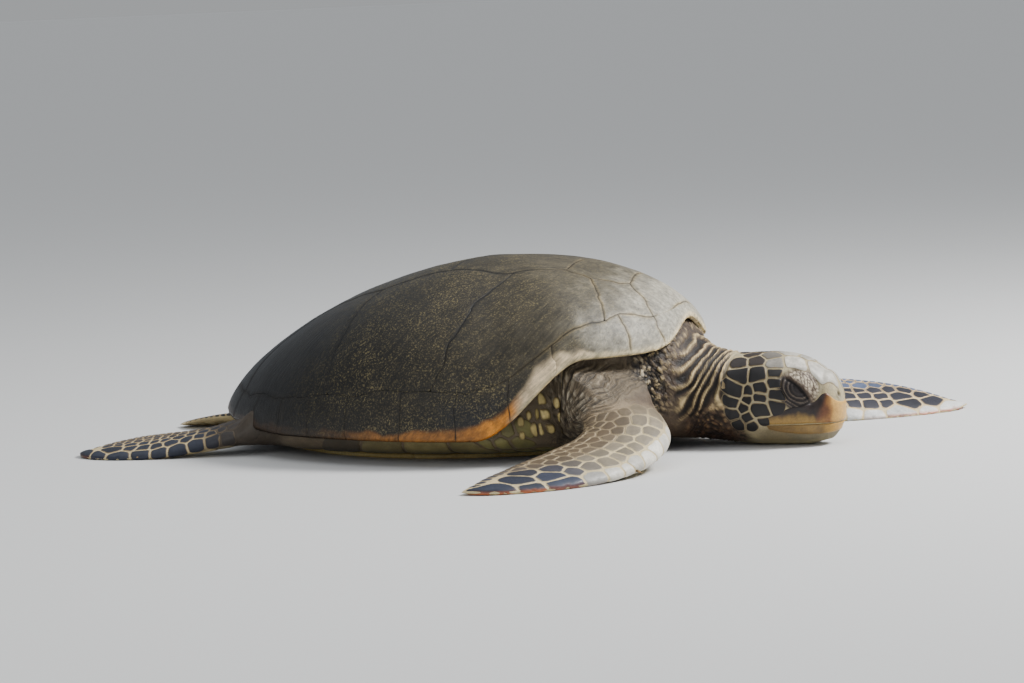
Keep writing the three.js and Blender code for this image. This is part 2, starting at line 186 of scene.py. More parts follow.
def stacks(rings, first, last, uvRings, uvFirst, uvLast):
    # n closed bodies at once: rings (n, rows, columns, 3) with a fan at each end, and
    # their map (n, rows, columns, 2). Returns points, quads, triangles and corner maps.
    n, rows, columns = rings.shape[:3]
    each = rows * columns + 2
    points = np.concatenate([rings.reshape(n, -1, 3), first[:, None], last[:, None]], 1)
    uv = np.concatenate([uvRings.reshape(n, -1, 2), uvFirst[:, None], uvLast[:, None]], 1)
    rowCorners, columnCorners = ringFaces(rows, columns)
    quads = rowCorners * columns + columnCorners % columns
    around = np.arange(columns)
    after = (around + 1) % columns
    start = np.stack([np.full(columns, each - 2), after, around], -1)
    end = np.stack([np.full(columns, each - 1), around, after], -1)
    end[:, 1:] += (rows - 1) * columns
    shift = (np.arange(n) * each)[:, None, None]
    quads = (quads[None] + shift).reshape(-1, 4)
    triangles = (np.concatenate([start, end])[None] + shift).reshape(-1, 3)
    uv = uv.reshape(-1, 2)
    return points.reshape(-1, 3), quads, triangles, uv[quads], uv[triangles]


def stack(ring, first, last, uvRing, uvFirst, uvLast):
    # one closed body
    return stacks(*(np.asarray(part, float)[None] for part in (ring, first, last, uvRing, uvFirst, uvLast)))


def outward(points, quads, triangles, uvQuads, uvTriangles):
    # turns every face round if the enclosed volume, the sum of corner products, is negative
    a, b, c = (points[triangles[:, k]] for k in range(3))
    p, q, r, s = (points[quads[:, k]] for k in range(4))
    volume = sum(np.einsum("ij,ij->", *pair)
                 for pair in ((a, np.cross(b, c)), (p, np.cross(q, r)), (p, np.cross(r, s))))
    if volume < 0:
        quads, triangles = quads[:, ::-1], triangles[:, ::-1]
        uvQuads, uvTriangles = uvQuads[:, ::-1], uvTriangles[:, ::-1]
    return points, quads, triangles, uvQuads, uvTriangles


def newObject(name, data):
    # a new object with this data, linked to the scene
    item = bpy.data.objects.new(name, data)
    bpy.context.scene.collection.objects.link(item)
    return item


def addPiece(name, shape, material, slotName, nodes, **attributes):
    # shape is (points, quads, triangles, uvQuads, uvTriangles); attributes hold one number,
    # one colour, or for those that start with grow one vector, for each point
    points, quads, triangles, uvQuads, uvTriangles = outward(*shape)
    mesh = bpy.data.meshes.new(name)
    mesh.from_pydata((points * 0.001).tolist(), [], quads.tolist() + triangles.tolist())
    corners = np.concatenate([uvQuads.reshape(-1, 2), uvTriangles.reshape(-1, 2)])
    layer = mesh.uv_layers.new(name="OFBake")
    layer.data.foreach_set("uv", corners.astype(np.float32).ravel())
    for key, values in attributes.items():
        values = np.asarray(values, np.float32)
        kind, field = "FLOAT", "value"
        if key.startswith("grow"):
            kind, field = "FLOAT_VECTOR", "vector"
        elif values.ndim == 2:
            kind, field = "FLOAT_COLOR", "color"
            values = np.column_stack([values, np.ones(len(values), np.float32)])
        mesh.attributes.new(key, kind, "POINT").data.foreach_set(field, values.ravel())
    mesh.polygons.foreach_set("use_smooth", np.ones(len(mesh.polygons), bool))
    mesh.materials.append(material)
    mesh.update()
    piece = newObject(name, mesh)
    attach(piece, "root")
    if nodes:
        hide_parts(*nodes)


def painter(name):
    # a new material, with a function that adds a node and sets or links its inputs
    material = bpy.data.materials.new(name)
    material.use_nodes = True
    tree = material.node_tree
    tree.nodes.clear()

    def add(kind, output=0, **inputs):
        # set_ keys are the node's own settings, in0, in1... its inputs by number
        node = tree.nodes.new("ShaderNode" + kind)
        for key, value in inputs.items():
            if key.startswith("set_"):
                setattr(node, key[4:], value)
                continue
            place = int(key[2:]) if key.startswith("in") and key[2:].isdigit() else key.replace("_", " ")
            if isinstance(value, bpy.types.NodeSocket):
                tree.links.new(value, node.inputs[place])
            else:
                node.inputs[place].default_value = value
        return node.outputs[output] if len(node.outputs) else None

    return material, add


def finishMaterial(add, colour, roughness, bump, specular, coat, coatRoughness=0.2):
    # the surface shader and the output
    shader = add("BsdfPrincipled", Base_Color=colour, Roughness=roughness, Normal=bump)
    settings = shader.node.inputs
    settings["Specular IOR Level"].default_value = specular
    settings["Coat Weight"].default_value = coat
    settings["Coat Roughness"].default_value = coatRoughness
    add("OutputMaterial", Surface=shader)


def stored(add, name, output=2):
    # a mesh attribute: its colour is output 0, its vector 1 and its number 2
    return add("Attribute", output, set_attribute_name=name)


def noiseOf(add, coordinates, scale, detail=4.0, roughness=0.55, distortion=0.0):
    # layered noise around 0.5 of the coordinates times the scale
    return add("TexNoise", Vector=coordinates, Scale=scale, Detail=detail, Roughness=roughness,
               Distortion=distortion)


def rangeOf(add, value, low, high, start=0.0, end=1.0):
    # value taken from low..high to start..end, held at both
    return add("MapRange", in0=value, in1=low, in2=high, in3=start, in4=end)


def swing(add, noise, amount, middle=1.0):
    # the noise's usual range taken to the middle less and plus the amount
    return rangeOf(add, noise, 0.3, 0.7, middle - amount, middle + amount)


def product(add, *values):
    # all the values multiplied
    total = values[0]
    for value in values[1:]:
        total = add("Math", set_operation="MULTIPLY", in0=total, in1=value)
    return total


def numberMix(add, share, a, b):
    # numbers a and b by the share of b
    return add("Mix", 0, set_data_type="FLOAT", in0=share, in2=a, in3=b)


def blended(add, share, a, b, kind="MIX"):
    # colours a and b by the share of b
    return add("Mix", 2, set_data_type="RGBA", set_blend_type=kind, in0=share, in6=a, in7=b)


def shaded(add, colour, light):
    # the colour times the light
    return blended(add, 1.0, colour, add("CombineColor", Red=light, Green=light, Blue=light), "MULTIPLY")


def bumped(add, height, strength, distance, under=None):
    # relief by the height, over the relief beneath
    beneath = {} if under is None else {"Normal": under}
    return add("Bump", Strength=strength, Distance=distance, Height=height, **beneath)


def creasedHide(add, place, look, tint, light):
    # painted shade: the tint darkened in the fine creases that run along the neck's folds and over
    # the shoulders, and in small pits, with a painted highlight on the ridges between the creases;
    # returns the colour and the relief of both
    alongNeck, alongArm = (noiseOf(add, stored(add, way, 1), look["creases"], 4, 0.6, 0.25)
                           for way in ("growNeck", "growArm"))
    crease = rangeOf(add, numberMix(add, stored(add, "atArm"), alongNeck, alongArm), 0.36, 0.60)
    creased = stored(add, "creased")
    pits = add("TexVoronoi", Vector=place, Scale=look["pits"], Randomness=1.0)
    pits = product(add, rangeOf(add, pits, 0.5, 0.72), stored(add, "netted"))
    furrowShade = rangeOf(add, crease, 0.0, 1.0, look["furrowShade"], look["ridgeLight"])
    colour = shaded(add, tint, product(add, light, numberMix(add, creased, 1.0, furrowShade)))
    colour = blended(add, pits, colour, (*tone(*look["pitShade"]), 1.0))
    bump = bumped(add, product(add, crease, creased), look["creaseBump"], 0.0022)
    raised = add("Math", set_operation="SUBTRACT", in0=1.0, in1=pits)
    return colour, bumped(add, raised, 0.9, 0.003, bump)


def hideMaterial(name, look):
    # tint attribute times fine and broad mottling, over the relief of the fine noise and
    # of a net of cells; creases and pits as well where the look has them, with painted shade in
    # them and a painted highlight on the ridges between
    material, add = painter(name)
    place = add("TexCoord", 3)
    tint = stored(add, "tint", 0)
    fine = noiseOf(add, place, look["fine"], *look.get("fineDetail", (5, 0.55)))
    broad = noiseOf(add, place, look["broad"], look.get("broadDetail", 3))
    light = product(add, swing(add, fine, look["contrast"]),
                    swing(add, broad, look["contrast"] * look.get("broadShare", 0.6)))
    if "creases" in look:
        colour, bump = creasedHide(add, place, look, tint, light)
    else:
        colour, bump = shaded(add, tint, light), None
    cells = add("TexVoronoi", Vector=place, Scale=look["cells"], set_feature="DISTANCE_TO_EDGE")
    bump = bumped(add, fine, look["bump"], 0.0012, bump)
    bump = bumped(add, rangeOf(add, cells, 0.0, 0.12), look["net"], 0.0008, bump)
    finishMaterial(add, colour, swing(add, fine, 0.1, look["rough"]), bump, look["specular"], look["coat"])
    return material


# The carapace is a dome over a disc, u forward and v to the left, with radius 1 at the rim.
shell = {
    "crownX": 23.0, "crownHeight": 300.0, "frontReach": 326.0, "rearReach": 480.0,
    "halfWidth": 307.0, "rearTaper": 0.137, "nuchalNotch": 16.0, "sideRim": 40.0,
    "shoulderRise": 118.0, "neckArch": 42.0, "rearLift": 25.0, "thickness": 8.6,
    "widen": (0.874, 0.921, 1.208),     # how fast it widens from the crown: front, side, rear
    "drop": (1.15, 0.978, 1.407),       # and how fast it drops
    "seam": 0.25,       # half the width of the open seam between plates
    "seamDepth": 0.9,   # how far the plates dip to their seams
    "seamWidth": 2.4,
    "waviness": 0.012,  # sideways wander of the seams, as a share of the disc
    "swell": 0.9,       # broad unevenness of the surface
    "focus": np.array([-40.0, 0.0, 60.0]),      # the plates' thickness points here
}


def rimPoint(angle):
    # outline of the free edge: two half ellipses with a dip over the neck; its height is
    # the flank's plus a rise at the shoulders, over the neck and at the tail
    degrees = np.abs(np.degrees(angle))
    front = np.maximum(np.cos(angle), 0)
    rear = np.maximum(-np.cos(angle), 0)
    x = shell["crownX"] + shell["frontReach"] * front - shell["rearReach"] * rear
    x = x - shell["nuchalNotch"] * hill(angle, 0, 0.3)
    y = shell["halfWidth"] * np.sin(angle) * (1 - shell["rearTaper"] * rear**2)
    z = shell["sideRim"] + shell["shoulderRise"] * fading(degrees, 48, 80)
    z = z + shell["neckArch"] * hill(degrees, 0, 14) + shell["rearLift"] * smooth(degrees, 125, 180)
    return np.stack([x, y, z], -1)


def domeShares(angle):
    # how the dome widens from the crown and how it drops, blended round the compass
    front = np.maximum(np.cos(angle), 0) ** 2
    rear = np.maximum(-np.cos(angle), 0) ** 2
    parts = (front, 1 - front - rear, rear)
    return [sum(part * value for part, value in zip(parts, shell[key])) for key in ("widen", "drop")]


def domePoint(reach, angle):
    # across = sin(quarter turn * reach)^widen, height = cos(quarter turn * reach)^drop
    reach = np.clip(reach, 0, 0.99999)
    widen, drop = domeShares(angle)
    edge = rimPoint(angle)
    across = np.sin(np.pi / 2 * reach) ** widen
    up = np.cos(np.pi / 2 * reach) ** drop
    x = mix(shell["crownX"], edge[..., 0], across)
    return np.stack([x, edge[..., 1] * across, mix(edge[..., 2], shell["crownHeight"], up)], -1)


def shellPoint(disc):
    # the dome over a place on the disc
    return domePoint(np.hypot(disc[..., 0], disc[..., 1]), np.arctan2(disc[..., 1], disc[..., 0]))


compass = np.linspace(-np.pi, np.pi, 1441)
compassRim = rimPoint(compass)
compassBearing = np.arctan2(compassRim[:, 1], compassRim[:, 0] - shell["crownX"])


def discOf(x, y):
    # reach and angle on the disc of the place straight above or below (x, y)
    angle = np.interp(np.arctan2(y, x - shell["crownX"]), compassBearing, compass)
    edge = rimPoint(angle)
    across = np.hypot(x - shell["crownX"], y)
    across = across / np.hypot(edge[..., 0] - shell["crownX"], edge[..., 1])
    widen = domeShares(angle)[0]
    return np.arcsin(np.clip(across, 0, 1) ** (1 / widen)) * 2 / np.pi, angle


def shellHeight(x, y):
    # height of the dome over (x, y)
    return domePoint(*discOf(x, y))[..., 2]


def bellyHeight(x, y):
    # flat in the middle, then rising to just under the rim as share^1.6
    reach, angle = discOf(x / 0.985, y / 0.985)
    start = 0.62 - 0.12 * np.maximum(np.cos(angle), 0)
    rise = np.clip((reach - start) / (1 - start), 0, 1) ** 1.6
    return mix(4.0, rimPoint(angle)[..., 2] - 6, rise)


# Plates of the carapace: each is a border on the disc, shared with its neighbours.
marginalSeams = [20, 34, 57, 70, 85, 98, 110, 120, 130, 141, 153, 166, 180]     # in degrees
costalSeams = [39.5, 92, 116, 152]
crossSeams = np.array([[0.50, 0.12], [0.25, 0.17], [-0.07, 0.20], [-0.40, 0.17]])
costalCorners = np.array([[0.36, 0.20], [0.12, 0.245], [-0.24, 0.25], [-0.56, 0.21]])


def marginRing(degrees):
    # where costals meet marginals, as a share of the way from crown to rim
    return 0.82 - 0.12 * hill(np.abs(degrees), 33, 17)


def ringArc(start, end, outer=False):
    # points of the ring, or of the rim, every degree or so from start to end
    degrees = np.linspace(start, end, max(3, int(abs(end - start)) + 1))
    reach = np.ones_like(degrees) if outer else marginRing(degrees)
    return np.stack([reach * np.cos(np.radians(degrees)), reach * np.sin(np.radians(degrees))], -1)


def flipped(points):
    # the same line on the right, the other way round
    return points[::-1] * np.array([1, -1])


def plateBorders():
    # name to border: the middle plates are a left half and the same on the right
    seams, corners = crossSeams, costalCorners
    half = np.concatenate([ringArc(0, marginalSeams[0]), seams[:1]])
    borders = {"vertebral_1": np.concatenate([half, flipped(half)[:-1]])}
    for i in range(3):
        half = np.stack([seams[i], corners[i], seams[i + 1]])
        borders[f"vertebral_{i + 2}"] = np.concatenate([half, flipped(half)])
    half = np.concatenate([seams[3:], corners[3:], ringArc(costalSeams[3], 180)])
    borders["vertebral_5"] = np.concatenate([half, flipped(half)[1:]])
    left = {"costal_1": [ringArc(marginalSeams[0], costalSeams[0]), corners[:1], seams[:1]]}
    for i in range(3):
        arc = ringArc(costalSeams[i], costalSeams[i + 1])
        left[f"costal_{i + 2}"] = [arc, corners[i + 1:i + 2], seams[i + 1:i + 2], corners[i:i + 1]]
    for i, (start, end) in enumerate(zip(marginalSeams, marginalSeams[1:])):
        left[f"marginal_{i + 1}"] = [ringArc(start, end, True), ringArc(end, start)]
    for name, parts in left.items():
        kind, number = name.split("_")
        points = np.concatenate(parts)
        borders[f"{kind}_left_{number}"] = points
        borders[f"{kind}_right_{number}"] = flipped(points)
    front = marginalSeams[0]
    borders["nuchal"] = np.concatenate([ringArc(-front, front, True), ringArc(front, -front)])
    return borders


def wavy(border, columns):
    # closes the border, spaces it evenly over the shell, and lets it wander by smooth
    # noise of its place on the disc, which fades out at the rim
    steps = np.linspace(0, 1, 24, endpoint=False)[:, None]
    side = (np.roll(border, -1, 0) - border)[:, None]
    fine = (border[:, None] + side * steps).reshape(-1, 2)
    reach = np.hypot(fine[:, 0], fine[:, 1])
    place = np.column_stack([fine, np.zeros(len(fine))])
    wander = np.stack([lumps(place, 0.09, seed) + 0.5 * lumps(place, 0.035, seed + 2) for seed in (3, 7)], -1)
    fine = fine + shell["waviness"] * wander * (1 - reach**12)[:, None]
    along = lengthAlong(shellPoint(fine))
    return pointsAlong(fine, along, np.linspace(0, along[-1], columns, endpoint=False))


def flankShare(place):
    # 1 over the flanks and the rear, where the seams have worn almost flush
    return smooth(np.hypot(place[..., 0], place[..., 1]), 0.62, 0.8) * fading(place[..., 0], 0.2, 0.5)


plateLook = {
    "columns": 144, "topRings": 29, "crowding": 1.9, "widest": 0.94,    # rings crowd to the border
    "wall": (1.2, 3.6, 6.2), "underside": 0.7,      # depths of the wall's rings, the last ring's share
    "growthRing": 7.0, "growthDepth": 0.10, "lip": 3.2,
}


def deepened(points, depth):
    # moved towards the focus
    return points - unit(points - shell["focus"]) * depth


def plateDepth(base, disc, inward, depths, isFree):
    # the ring's own depth, plus the dip to a seam or the rounding of a free edge, the rings
    # of growth, and less the broad swell of the shell
    dip = shell["seamDepth"] * (1 - 0.7 * flankShare(disc)) * hill(inward, 0, shell["seamWidth"])
    depth = depths[:, None] + dip * (1 - isFree)
    lip = hill(inward, 0, plateLook["lip"], 1.5) * isFree * (depths == 0)[:, None]
    depth = depth + plateLook["lip"] * lip
    growth = np.sin(2 * np.pi * inward / plateLook["growthRing"] + lumps(base, 40, 21))
    depth = depth - plateLook["growthDepth"] * growth * np.exp(-inward / 45)
    return depth - shell["swell"] * lumps(base, 70, 11) - 0.35 * lumps(base, 22, 12)


def platePiece(border):
    # rings from the middle out to the border, over the edge and back beneath; every point
    # is shellPoint(middle + share * (border - middle)) moved towards the focus
    top, columns = plateLook["topRings"], plateLook["columns"]
    loop = wavy(border, columns)
    middle = loop.mean(0)
    rim, centre = shellPoint(loop), shellPoint(middle)
    spoke = rim - centre
    along = unit(np.roll(rim, -1, 0) - np.roll(rim, 1, 0))
    lean = np.linalg.norm(np.cross(unit(spoke), along), axis=1).clip(0.35, 1)
    depthAcross = np.linalg.norm(spoke, axis=1) * lean      # from the middle to the border, square on
    isFree = np.where(np.hypot(loop[:, 0], loop[:, 1]) > 0.995, 1.0, 0.0)
    inset = shell["seam"] * (1 - isFree) / depthAcross
    shares = 1 - np.linspace(1, 0, top + 1)[1:] ** plateLook["crowding"] * plateLook["widest"]
    shares = np.concatenate([shares, [1, 1, 1, 1, plateLook["underside"]]])
    depths = np.concatenate([np.zeros(top), plateLook["wall"], [shell["thickness"]] * 2])
    disc = middle + (shares[:, None] * (1 - inset))[..., None] * (loop - middle)
    base = shellPoint(disc)
    inward = (1 - shares[:, None]) * depthAcross
    depth = plateDepth(base, disc, inward, depths, isFree)
    points = deepened(base, depth[..., None])
    last = deepened(base[-1].mean(0), shell["thickness"])
    first = deepened(centre, depth[0].mean())
    # the map: the top fills a square, walls and underside a small one beside it
    low = loop.min(0)
    width = (loop.max(0) - low).max()
    upper, lower = ((np.concatenate([disc.reshape(-1, 2), middle[None]]) - low) / width * size + corner
                    for size, corner in ((0.78, [0.01, 0.21]), (0.16, [0.01, 0.01])))
    isTop = (np.arange(len(shares)) < top)[:, None, None]
    table = np.where(isTop, upper[:-1].reshape(disc.shape), lower[:-1].reshape(disc.shape))
    points, quads, triangles, uvQuads, uvTriangles = stack(points, first, last, table, upper[-1], lower[-1])
    # both rings of the step from top to wall take the lower map
    step = (quads // columns).max(1) == top
    uvQuads[step] = lower[quads[step]]
    return (points, quads, triangles, uvQuads, uvTriangles), disc, inward, depths


# bleached is partly a painted highlight, and wall is near black painted shade in the gaps between plates
plateColours = {   # the dry shell, from its horn to its scuffs, then the rim from rear to front
    "horn": (25, 22, 17), "olive": (50, 43, 27), "dry": (100, 92, 73), "bleachedAndLit": (164, 159, 144),
    # wall: near black, painted shade on the plates' walls in the gaps between them
    "seam": (9, 8, 7), "drySeam": (146, 126, 82), "underside": (70, 56, 36), "wall": (14, 11, 9),
    "rimRear": (92, 64, 34), "rimSide": (142, 92, 38), "amber": (214, 136, 40), "cream": (214, 192, 156),
    "rimEdge": (228, 212, 172), "blueBlack": (24, 24, 27), "algae": (152, 137, 92), "scuff": (178, 170, 150),
}
platePaint = tones(plateColours)


def rimTints(colour, flat, disc, soft, fine, inward):
    # warm edge: cream over the shoulders, amber at the corner, dull amber behind, cracked at
    # the seams; returns the colour and how far the edge covers it
    paint = platePaint
    x = flat[:, 0]
    fromRim = np.linalg.norm(flat - rimPoint(np.arctan2(disc[..., 1], disc[..., 0]).ravel()), axis=-1)
    cream = smooth(x + 8 * fine, 132, 156)
    band = 15 + 14 * hill(x, 100, 84) + 20 * hill(x, 180, 34) - 7 * smooth(x, 225, 260) + 4 * soft
    edge = fading(fromRim + 5 * fine, band * 0.6, band * 1.1)
    colour = covered(colour, paint["blueBlack"], 0.85 * hill(x, 80, 70) * fading(fromRim, 42, 74))
    warm = tinted([smooth(x, -210, -30), hill(x + 6 * fine, 116, 32), cream],
                  paint["rimRear"], paint["rimSide"], paint["amber"], paint["cream"])
    amount = edge * mix(0.3 + 0.3 * soft, 1, smooth(x, -210, -60)) * (1 - 0.35 * smooth(x, 235, 262))
    amount = np.clip(amount, 0, 1)
    colour = covered(colour, warm, amount)
    crack = hill(inward, 0, 1.3) * smooth(fromRim, 1.5, 4) * amount
    colour = covered(colour, paint["seam"], 0.85 * crack * (1 - cream))
    return covered(colour, paint["rimEdge"], hill(fromRim, 0, 7) * cream * 0.9), amount


def plateTints(disc, inward, depths, isMargin):
    # colour by place, with the shares of wetness and of algae: dark olive behind and below,
    # bleached and partly a painted highlight at the front and top, darker or yellower in the seams,
    # with painted shade over the lower shell away from the front and near black painted shade on
    # the plates' walls in the gaps between them
    paint = platePaint
    flat = shellPoint(disc).reshape(-1, 3)
    reach = np.hypot(disc[..., 0], disc[..., 1]).ravel()
    x, z = flat[:, 0], flat[:, 2]
    depths = np.broadcast_to(depths[:, None], inward.shape).ravel()
    inward = inward.ravel()
    soft, fine = lumps(flat, 60, 31), lumps(flat, 14, 33)
    dry = smooth(x + 0.45 * (z - 210) + 60 * soft + 24 * fine, 30, 345)
    algae = smooth(0.7 * lumps(flat, 60, 41) + 0.6 * lumps(flat, 15, 43), -1.2, 1.2)
    algae = (0.15 + 0.85 * algae) * (1 - 0.7 * dry) * smooth(x + 30 * soft, -330, -60)
    olive = mix(0.12, 0.85, smooth(x + 0.4 * z, -150, 260)) * (0.4 + 0.6 * algae)
    # bleached: paled dry horn at the front and top, partly a painted highlight
    bleachedAndLit = 0.75 * dry * smooth(x + 26 * fine + 26 * soft, 180, 330)
    colour = tinted([olive, 0.7 * dry, bleachedAndLit],
                    *(paint[key] for key in ("horn", "olive", "dry", "bleachedAndLit")))
    worn = 1 - 0.85 * flankShare(disc).ravel()
    halo = hill(inward, 0, 3.4) * smooth(x + 30 * soft, 60, 220) * (0.55 + 0.45 * fine)
    colour = covered(colour, paint["drySeam"], 0.85 * halo * worn)
    core = hill(inward, 0, mix(2.8, 1.3, dry)) * worn * mix(0.95, 0.6, dry)
    algae = algae * (1 - core)
    colour = covered(colour, paint["seam"], core)
    if isMargin:
        colour, amount = rimTints(colour, flat, disc, soft, fine, inward)
        algae = algae * (1 - 0.85 * amount)
    wet = fading(x - 0.5 * (z - 150) + 26 * soft, -240, 60)
    # painted shade: darker low on the shell, less so on the marginals and none at the front
    paintedShade = 1 - 0.3 * fading(z + 20 * soft, 70, 210) * fading(x, 120, 220) * (1 - 0.7 * isMargin)
    colour = colour * ((1 - 0.4 * wet) * paintedShade)[:, None]
    wet = wet * (1 - hill(inward, 0, 5))
    colour = covered(colour, paint["underside"], 0.5 * smooth(depths, 3, 6) * (1 - 0.8 * smooth(x, 120, 200)))
    # the plates' walls in the gaps between them get near black painted shade
    return covered(colour, paint["wall"], 0.95 * smooth(depths, 0.2, 1.0) * (reach < 0.985)), wet, algae


def growthPlace(disc, number):
    # fibres run backwards and down the slope: noise of this place, which is stretched along
    # their direction and swings a little from plate to plate, gives streaks
    base = shellPoint(disc)
    middle = base[0].mean(0)
    side = np.sign(middle[1] + 1e-3) if abs(middle[1]) > 20 else 0.0
    heading = unit(np.array([-1.0, 0.75 * side + 0.25 * math.sin(2.1 * number), -0.9 * abs(side) - 0.1]))
    along = (base - middle) @ heading
    across = base - middle - along[..., None] * heading
    across = across / (1 + 0.0022 * np.clip(along + 90, 0, 400))[..., None]
    return (across / 7.0 + along[..., None] * heading / 85.0 + 13.7 * number).reshape(-1, 3)


shellLook = {   # the noises' scale, detail, roughness and distortion, then the finish
    "fibres": (1.6, 8, 0.68, 0.3), "mottle": (34.0, 9, 0.72), "specks": (350.0, 5, 0.7),
    "grain": (120.0, 6, 0.7), "scratches": (5.5, 2, 0.5, 1.2),
    "rough": (0.5, 0.72), "wetRough": 0.38, "specular": 0.42, "coat": 0.05, "coatRoughness": 0.3,
}


def shellMaterial():
    # fibres along the shell, pale specks where algae dried, scuffs, and wetter at the rear
    material, add = painter("shellHorn")
    place = add("TexCoord", 3)
    wet = stored(add, "wet")
    grow = stored(add, "grow", 1)
    fibres = noiseOf(add, grow, *shellLook["fibres"])
    mottle, specks, grain = (noiseOf(add, place, *shellLook[key]) for key in ("mottle", "specks", "grain"))
    light = product(add, rangeOf(add, fibres, 0.3, 0.7, 0.5, 1.6),
                    rangeOf(add, mottle, 0.32, 0.68, 0.6, 1.36))
    colour = shaded(add, stored(add, "tint", 0), light)
    clumped = rangeOf(add, fibres, 0.4, 0.58, 0.25, 1.0)
    dots = product(add, rangeOf(add, specks, 0.52, 0.6), stored(add, "algae"), clumped, 0.85)
    colour = blended(add, dots, colour, (*platePaint["algae"], 1.0))
    scratches = rangeOf(add, noiseOf(add, grow, *shellLook["scratches"]), 0.66, 0.74, 0.0, 0.42)
    scuffs = product(add, scratches, rangeOf(add, mottle, 0.46, 0.6), rangeOf(add, wet, 0.0, 0.6, 1.0, 0.1))
    colour = blended(add, scuffs, colour, (*platePaint["scuff"], 1.0))
    bump = bumped(add, fibres, 0.5, 0.002)
    bump = bumped(add, grain, 0.3, 0.001, bump)
    bump = bumped(add, dots, 0.25, 0.0008, bump)
    rough = numberMix(add, wet, rangeOf(add, grain, 0.3, 0.7, *shellLook["rough"]), shellLook["wetRough"])
    finishMaterial(add, colour, rough, bump,
                   *(shellLook[key] for key in ("specular", "coat", "coatRoughness")))
    return material


def withPoles(values):
    # a plate's values with the first and last again, for the middles of its two faces
    return np.concatenate([values, values[:1], values[-1:]])


shellHorn = shellMaterial()
for number, (name, border) in enumerate(plateBorders().items()):
    shape, disc, inward, depths = platePiece(border)
    isMargin = "marginal" in name or name == "nuchal"
    colour, wet, algae = (withPoles(values) for values in plateTints(disc, inward, depths, isMargin))
    slotName = "margin" if "marginal" in name else "carapace"
    addPiece("scute_" + name, shape, shellHorn, slotName, [name], tint=colour, wet=wet, algae=algae,
             grow=withPoles(growthPlace(disc, number)))
print("stage: carapace plates")


# The skin is one mesh: a tube from the tail tip to the snout, with the four limbs joined
# to the edges of holes in it. Each section is a rounded shape y = width * side^round,
# z = middle + height * up^round, held under the carapace and above the plastron.
coatDepth = 1.2         # how far the skin lies inside the solids
floorGap = 0.4
roofGap = 15.0          # between the carapace and the back
neckFrom = 332.0        # where the neck leaves the carapace
columnCount = 176
bodyStations = {
    "x": [-485, -450, -420, -400, -380, -360, -340, -300, -200, 0, 150, 200, 240, 270, 300, 318,
          330, 345, 365, 385, 425, 465, 500, 528, 552],
    "width": [9, 17, 26, 36, 60, 96, 140, 192, 242, 282, 262, 228, 194, 163, 133, 115,
              104, 92, 82, 76, 69, 69, 62, 52, 39],
    "top": [16, 32, 43, 54, 68, 92, 122, 200, 380, 400, 400, 380, 300, 255, 222, 202,
            184, 164, 152, 146, 143, 144, 141, 132, 116],
    "bottom": [3, 3, 4, 5, 5, 5, 5, 5, 5, 5, 5, 5, 7, 9, 12, 12,
               11, 10, 8, 6, 2, 0, 0, 1, 6],
    "middle": [9, 17, 23, 28, 32, 34, 36, 42, 46, 48, 62, 76, 86, 88, 88, 87,
               85, 82, 78, 76, 72.5, 72, 70.5, 66.5, 61],
    "round": [0.9, 0.9, 0.85, 0.8, 0.75, 0.7, 0.66, 0.62, 0.6, 0.6, 0.6, 0.6, 0.62, 0.66, 0.7, 0.74,
              0.78, 0.82, 0.85, 0.86, 0.86, 0.86, 0.86, 0.86, 0.86],
}
snout = {"start": 552.0, "length": 25.0, "height": 51.0}
tailTip = {"start": -470.0, "length": 15.0, "height": 9.0}


def bodyValue(name, x):
    # the column of the stations at x
    return through(bodyStations["x"], bodyStations[name], x)


def closing(x):
    # sqrt(1 - share^2) over the last stretch at the snout and at the tail tip
    nose = np.clip((x - snout["start"]) / snout["length"], 0, 1)
    tip = np.clip((tailTip["start"] - x) / tailTip["length"], 0, 1)
    return np.sqrt(np.clip(1 - nose**2 - tip**2, 0, 1))


def sectionParts(x):
    # height of the middle, half width, reach over and under the middle, and roundness at x
    shut = closing(x)
    end = np.where(x > 0, snout["height"], tailTip["height"])
    middle = bodyValue("middle", x)
    width = (bodyValue("width", x) - coatDepth) * shut
    over = (bodyValue("top", x) - coatDepth - middle) * shut
    under = (middle - bodyValue("bottom", x) - floorGap) * shut
    return mix(end, middle, shut), width, over, under, bodyValue("round", x)


def bodySection(x, turnShare):
    # one section each for the places x, at these shares of a turn from the belly, over the right
    x = np.asarray(x, float)[:, None]
    angle = 2 * np.pi * np.asarray(turnShare)[None]
    middle, width, over, under, power = sectionParts(x)
    side, up = np.sin(angle), -np.cos(angle)
    y = -width * np.sign(side) * np.abs(side) ** power
    z = middle + np.where(up > 0, over, under) * np.sign(up) * np.abs(up) ** power
    x = np.broadcast_to(x, y.shape)
    roof = np.where(x < neckFrom, shellHeight(x, y) - roofGap, 1e3)
    ground = (bellyHeight(x, y) + 1) * plateau(x, -352, -335, 215, 262)
    z = np.maximum(np.minimum(z, roof), ground)
    return np.stack([x, y, np.maximum(z, floorGap)], -1)


bodyRows = np.concatenate([
    tailTip["start"] - tailTip["length"] * np.cos(np.linspace(0.12, np.pi / 2, 9))[:-1],
    np.arange(-470, -400, 5), np.arange(-400, -300, 3.8), np.arange(-300, 180, 12.5),
    np.arange(180, 345, 2.9), np.arange(345, 480, 1.8), np.arange(480, 552, 1.25),
    snout["start"] + snout["length"] * np.sin(np.linspace(0, np.pi / 2, 24)[:-1])])
rowCount = len(bodyRows)
share = np.arange(columnCount) / columnCount
bodyFractions = share + 0.02 * np.sin(4 * np.pi * share)     # closer together at the flanks
fineTurn = np.linspace(0, 1, 720, endpoint=False)
bodyGrid = np.stack([evenRing(ring, bodyFractions) for ring in bodySection(bodyRows, fineTurn)])

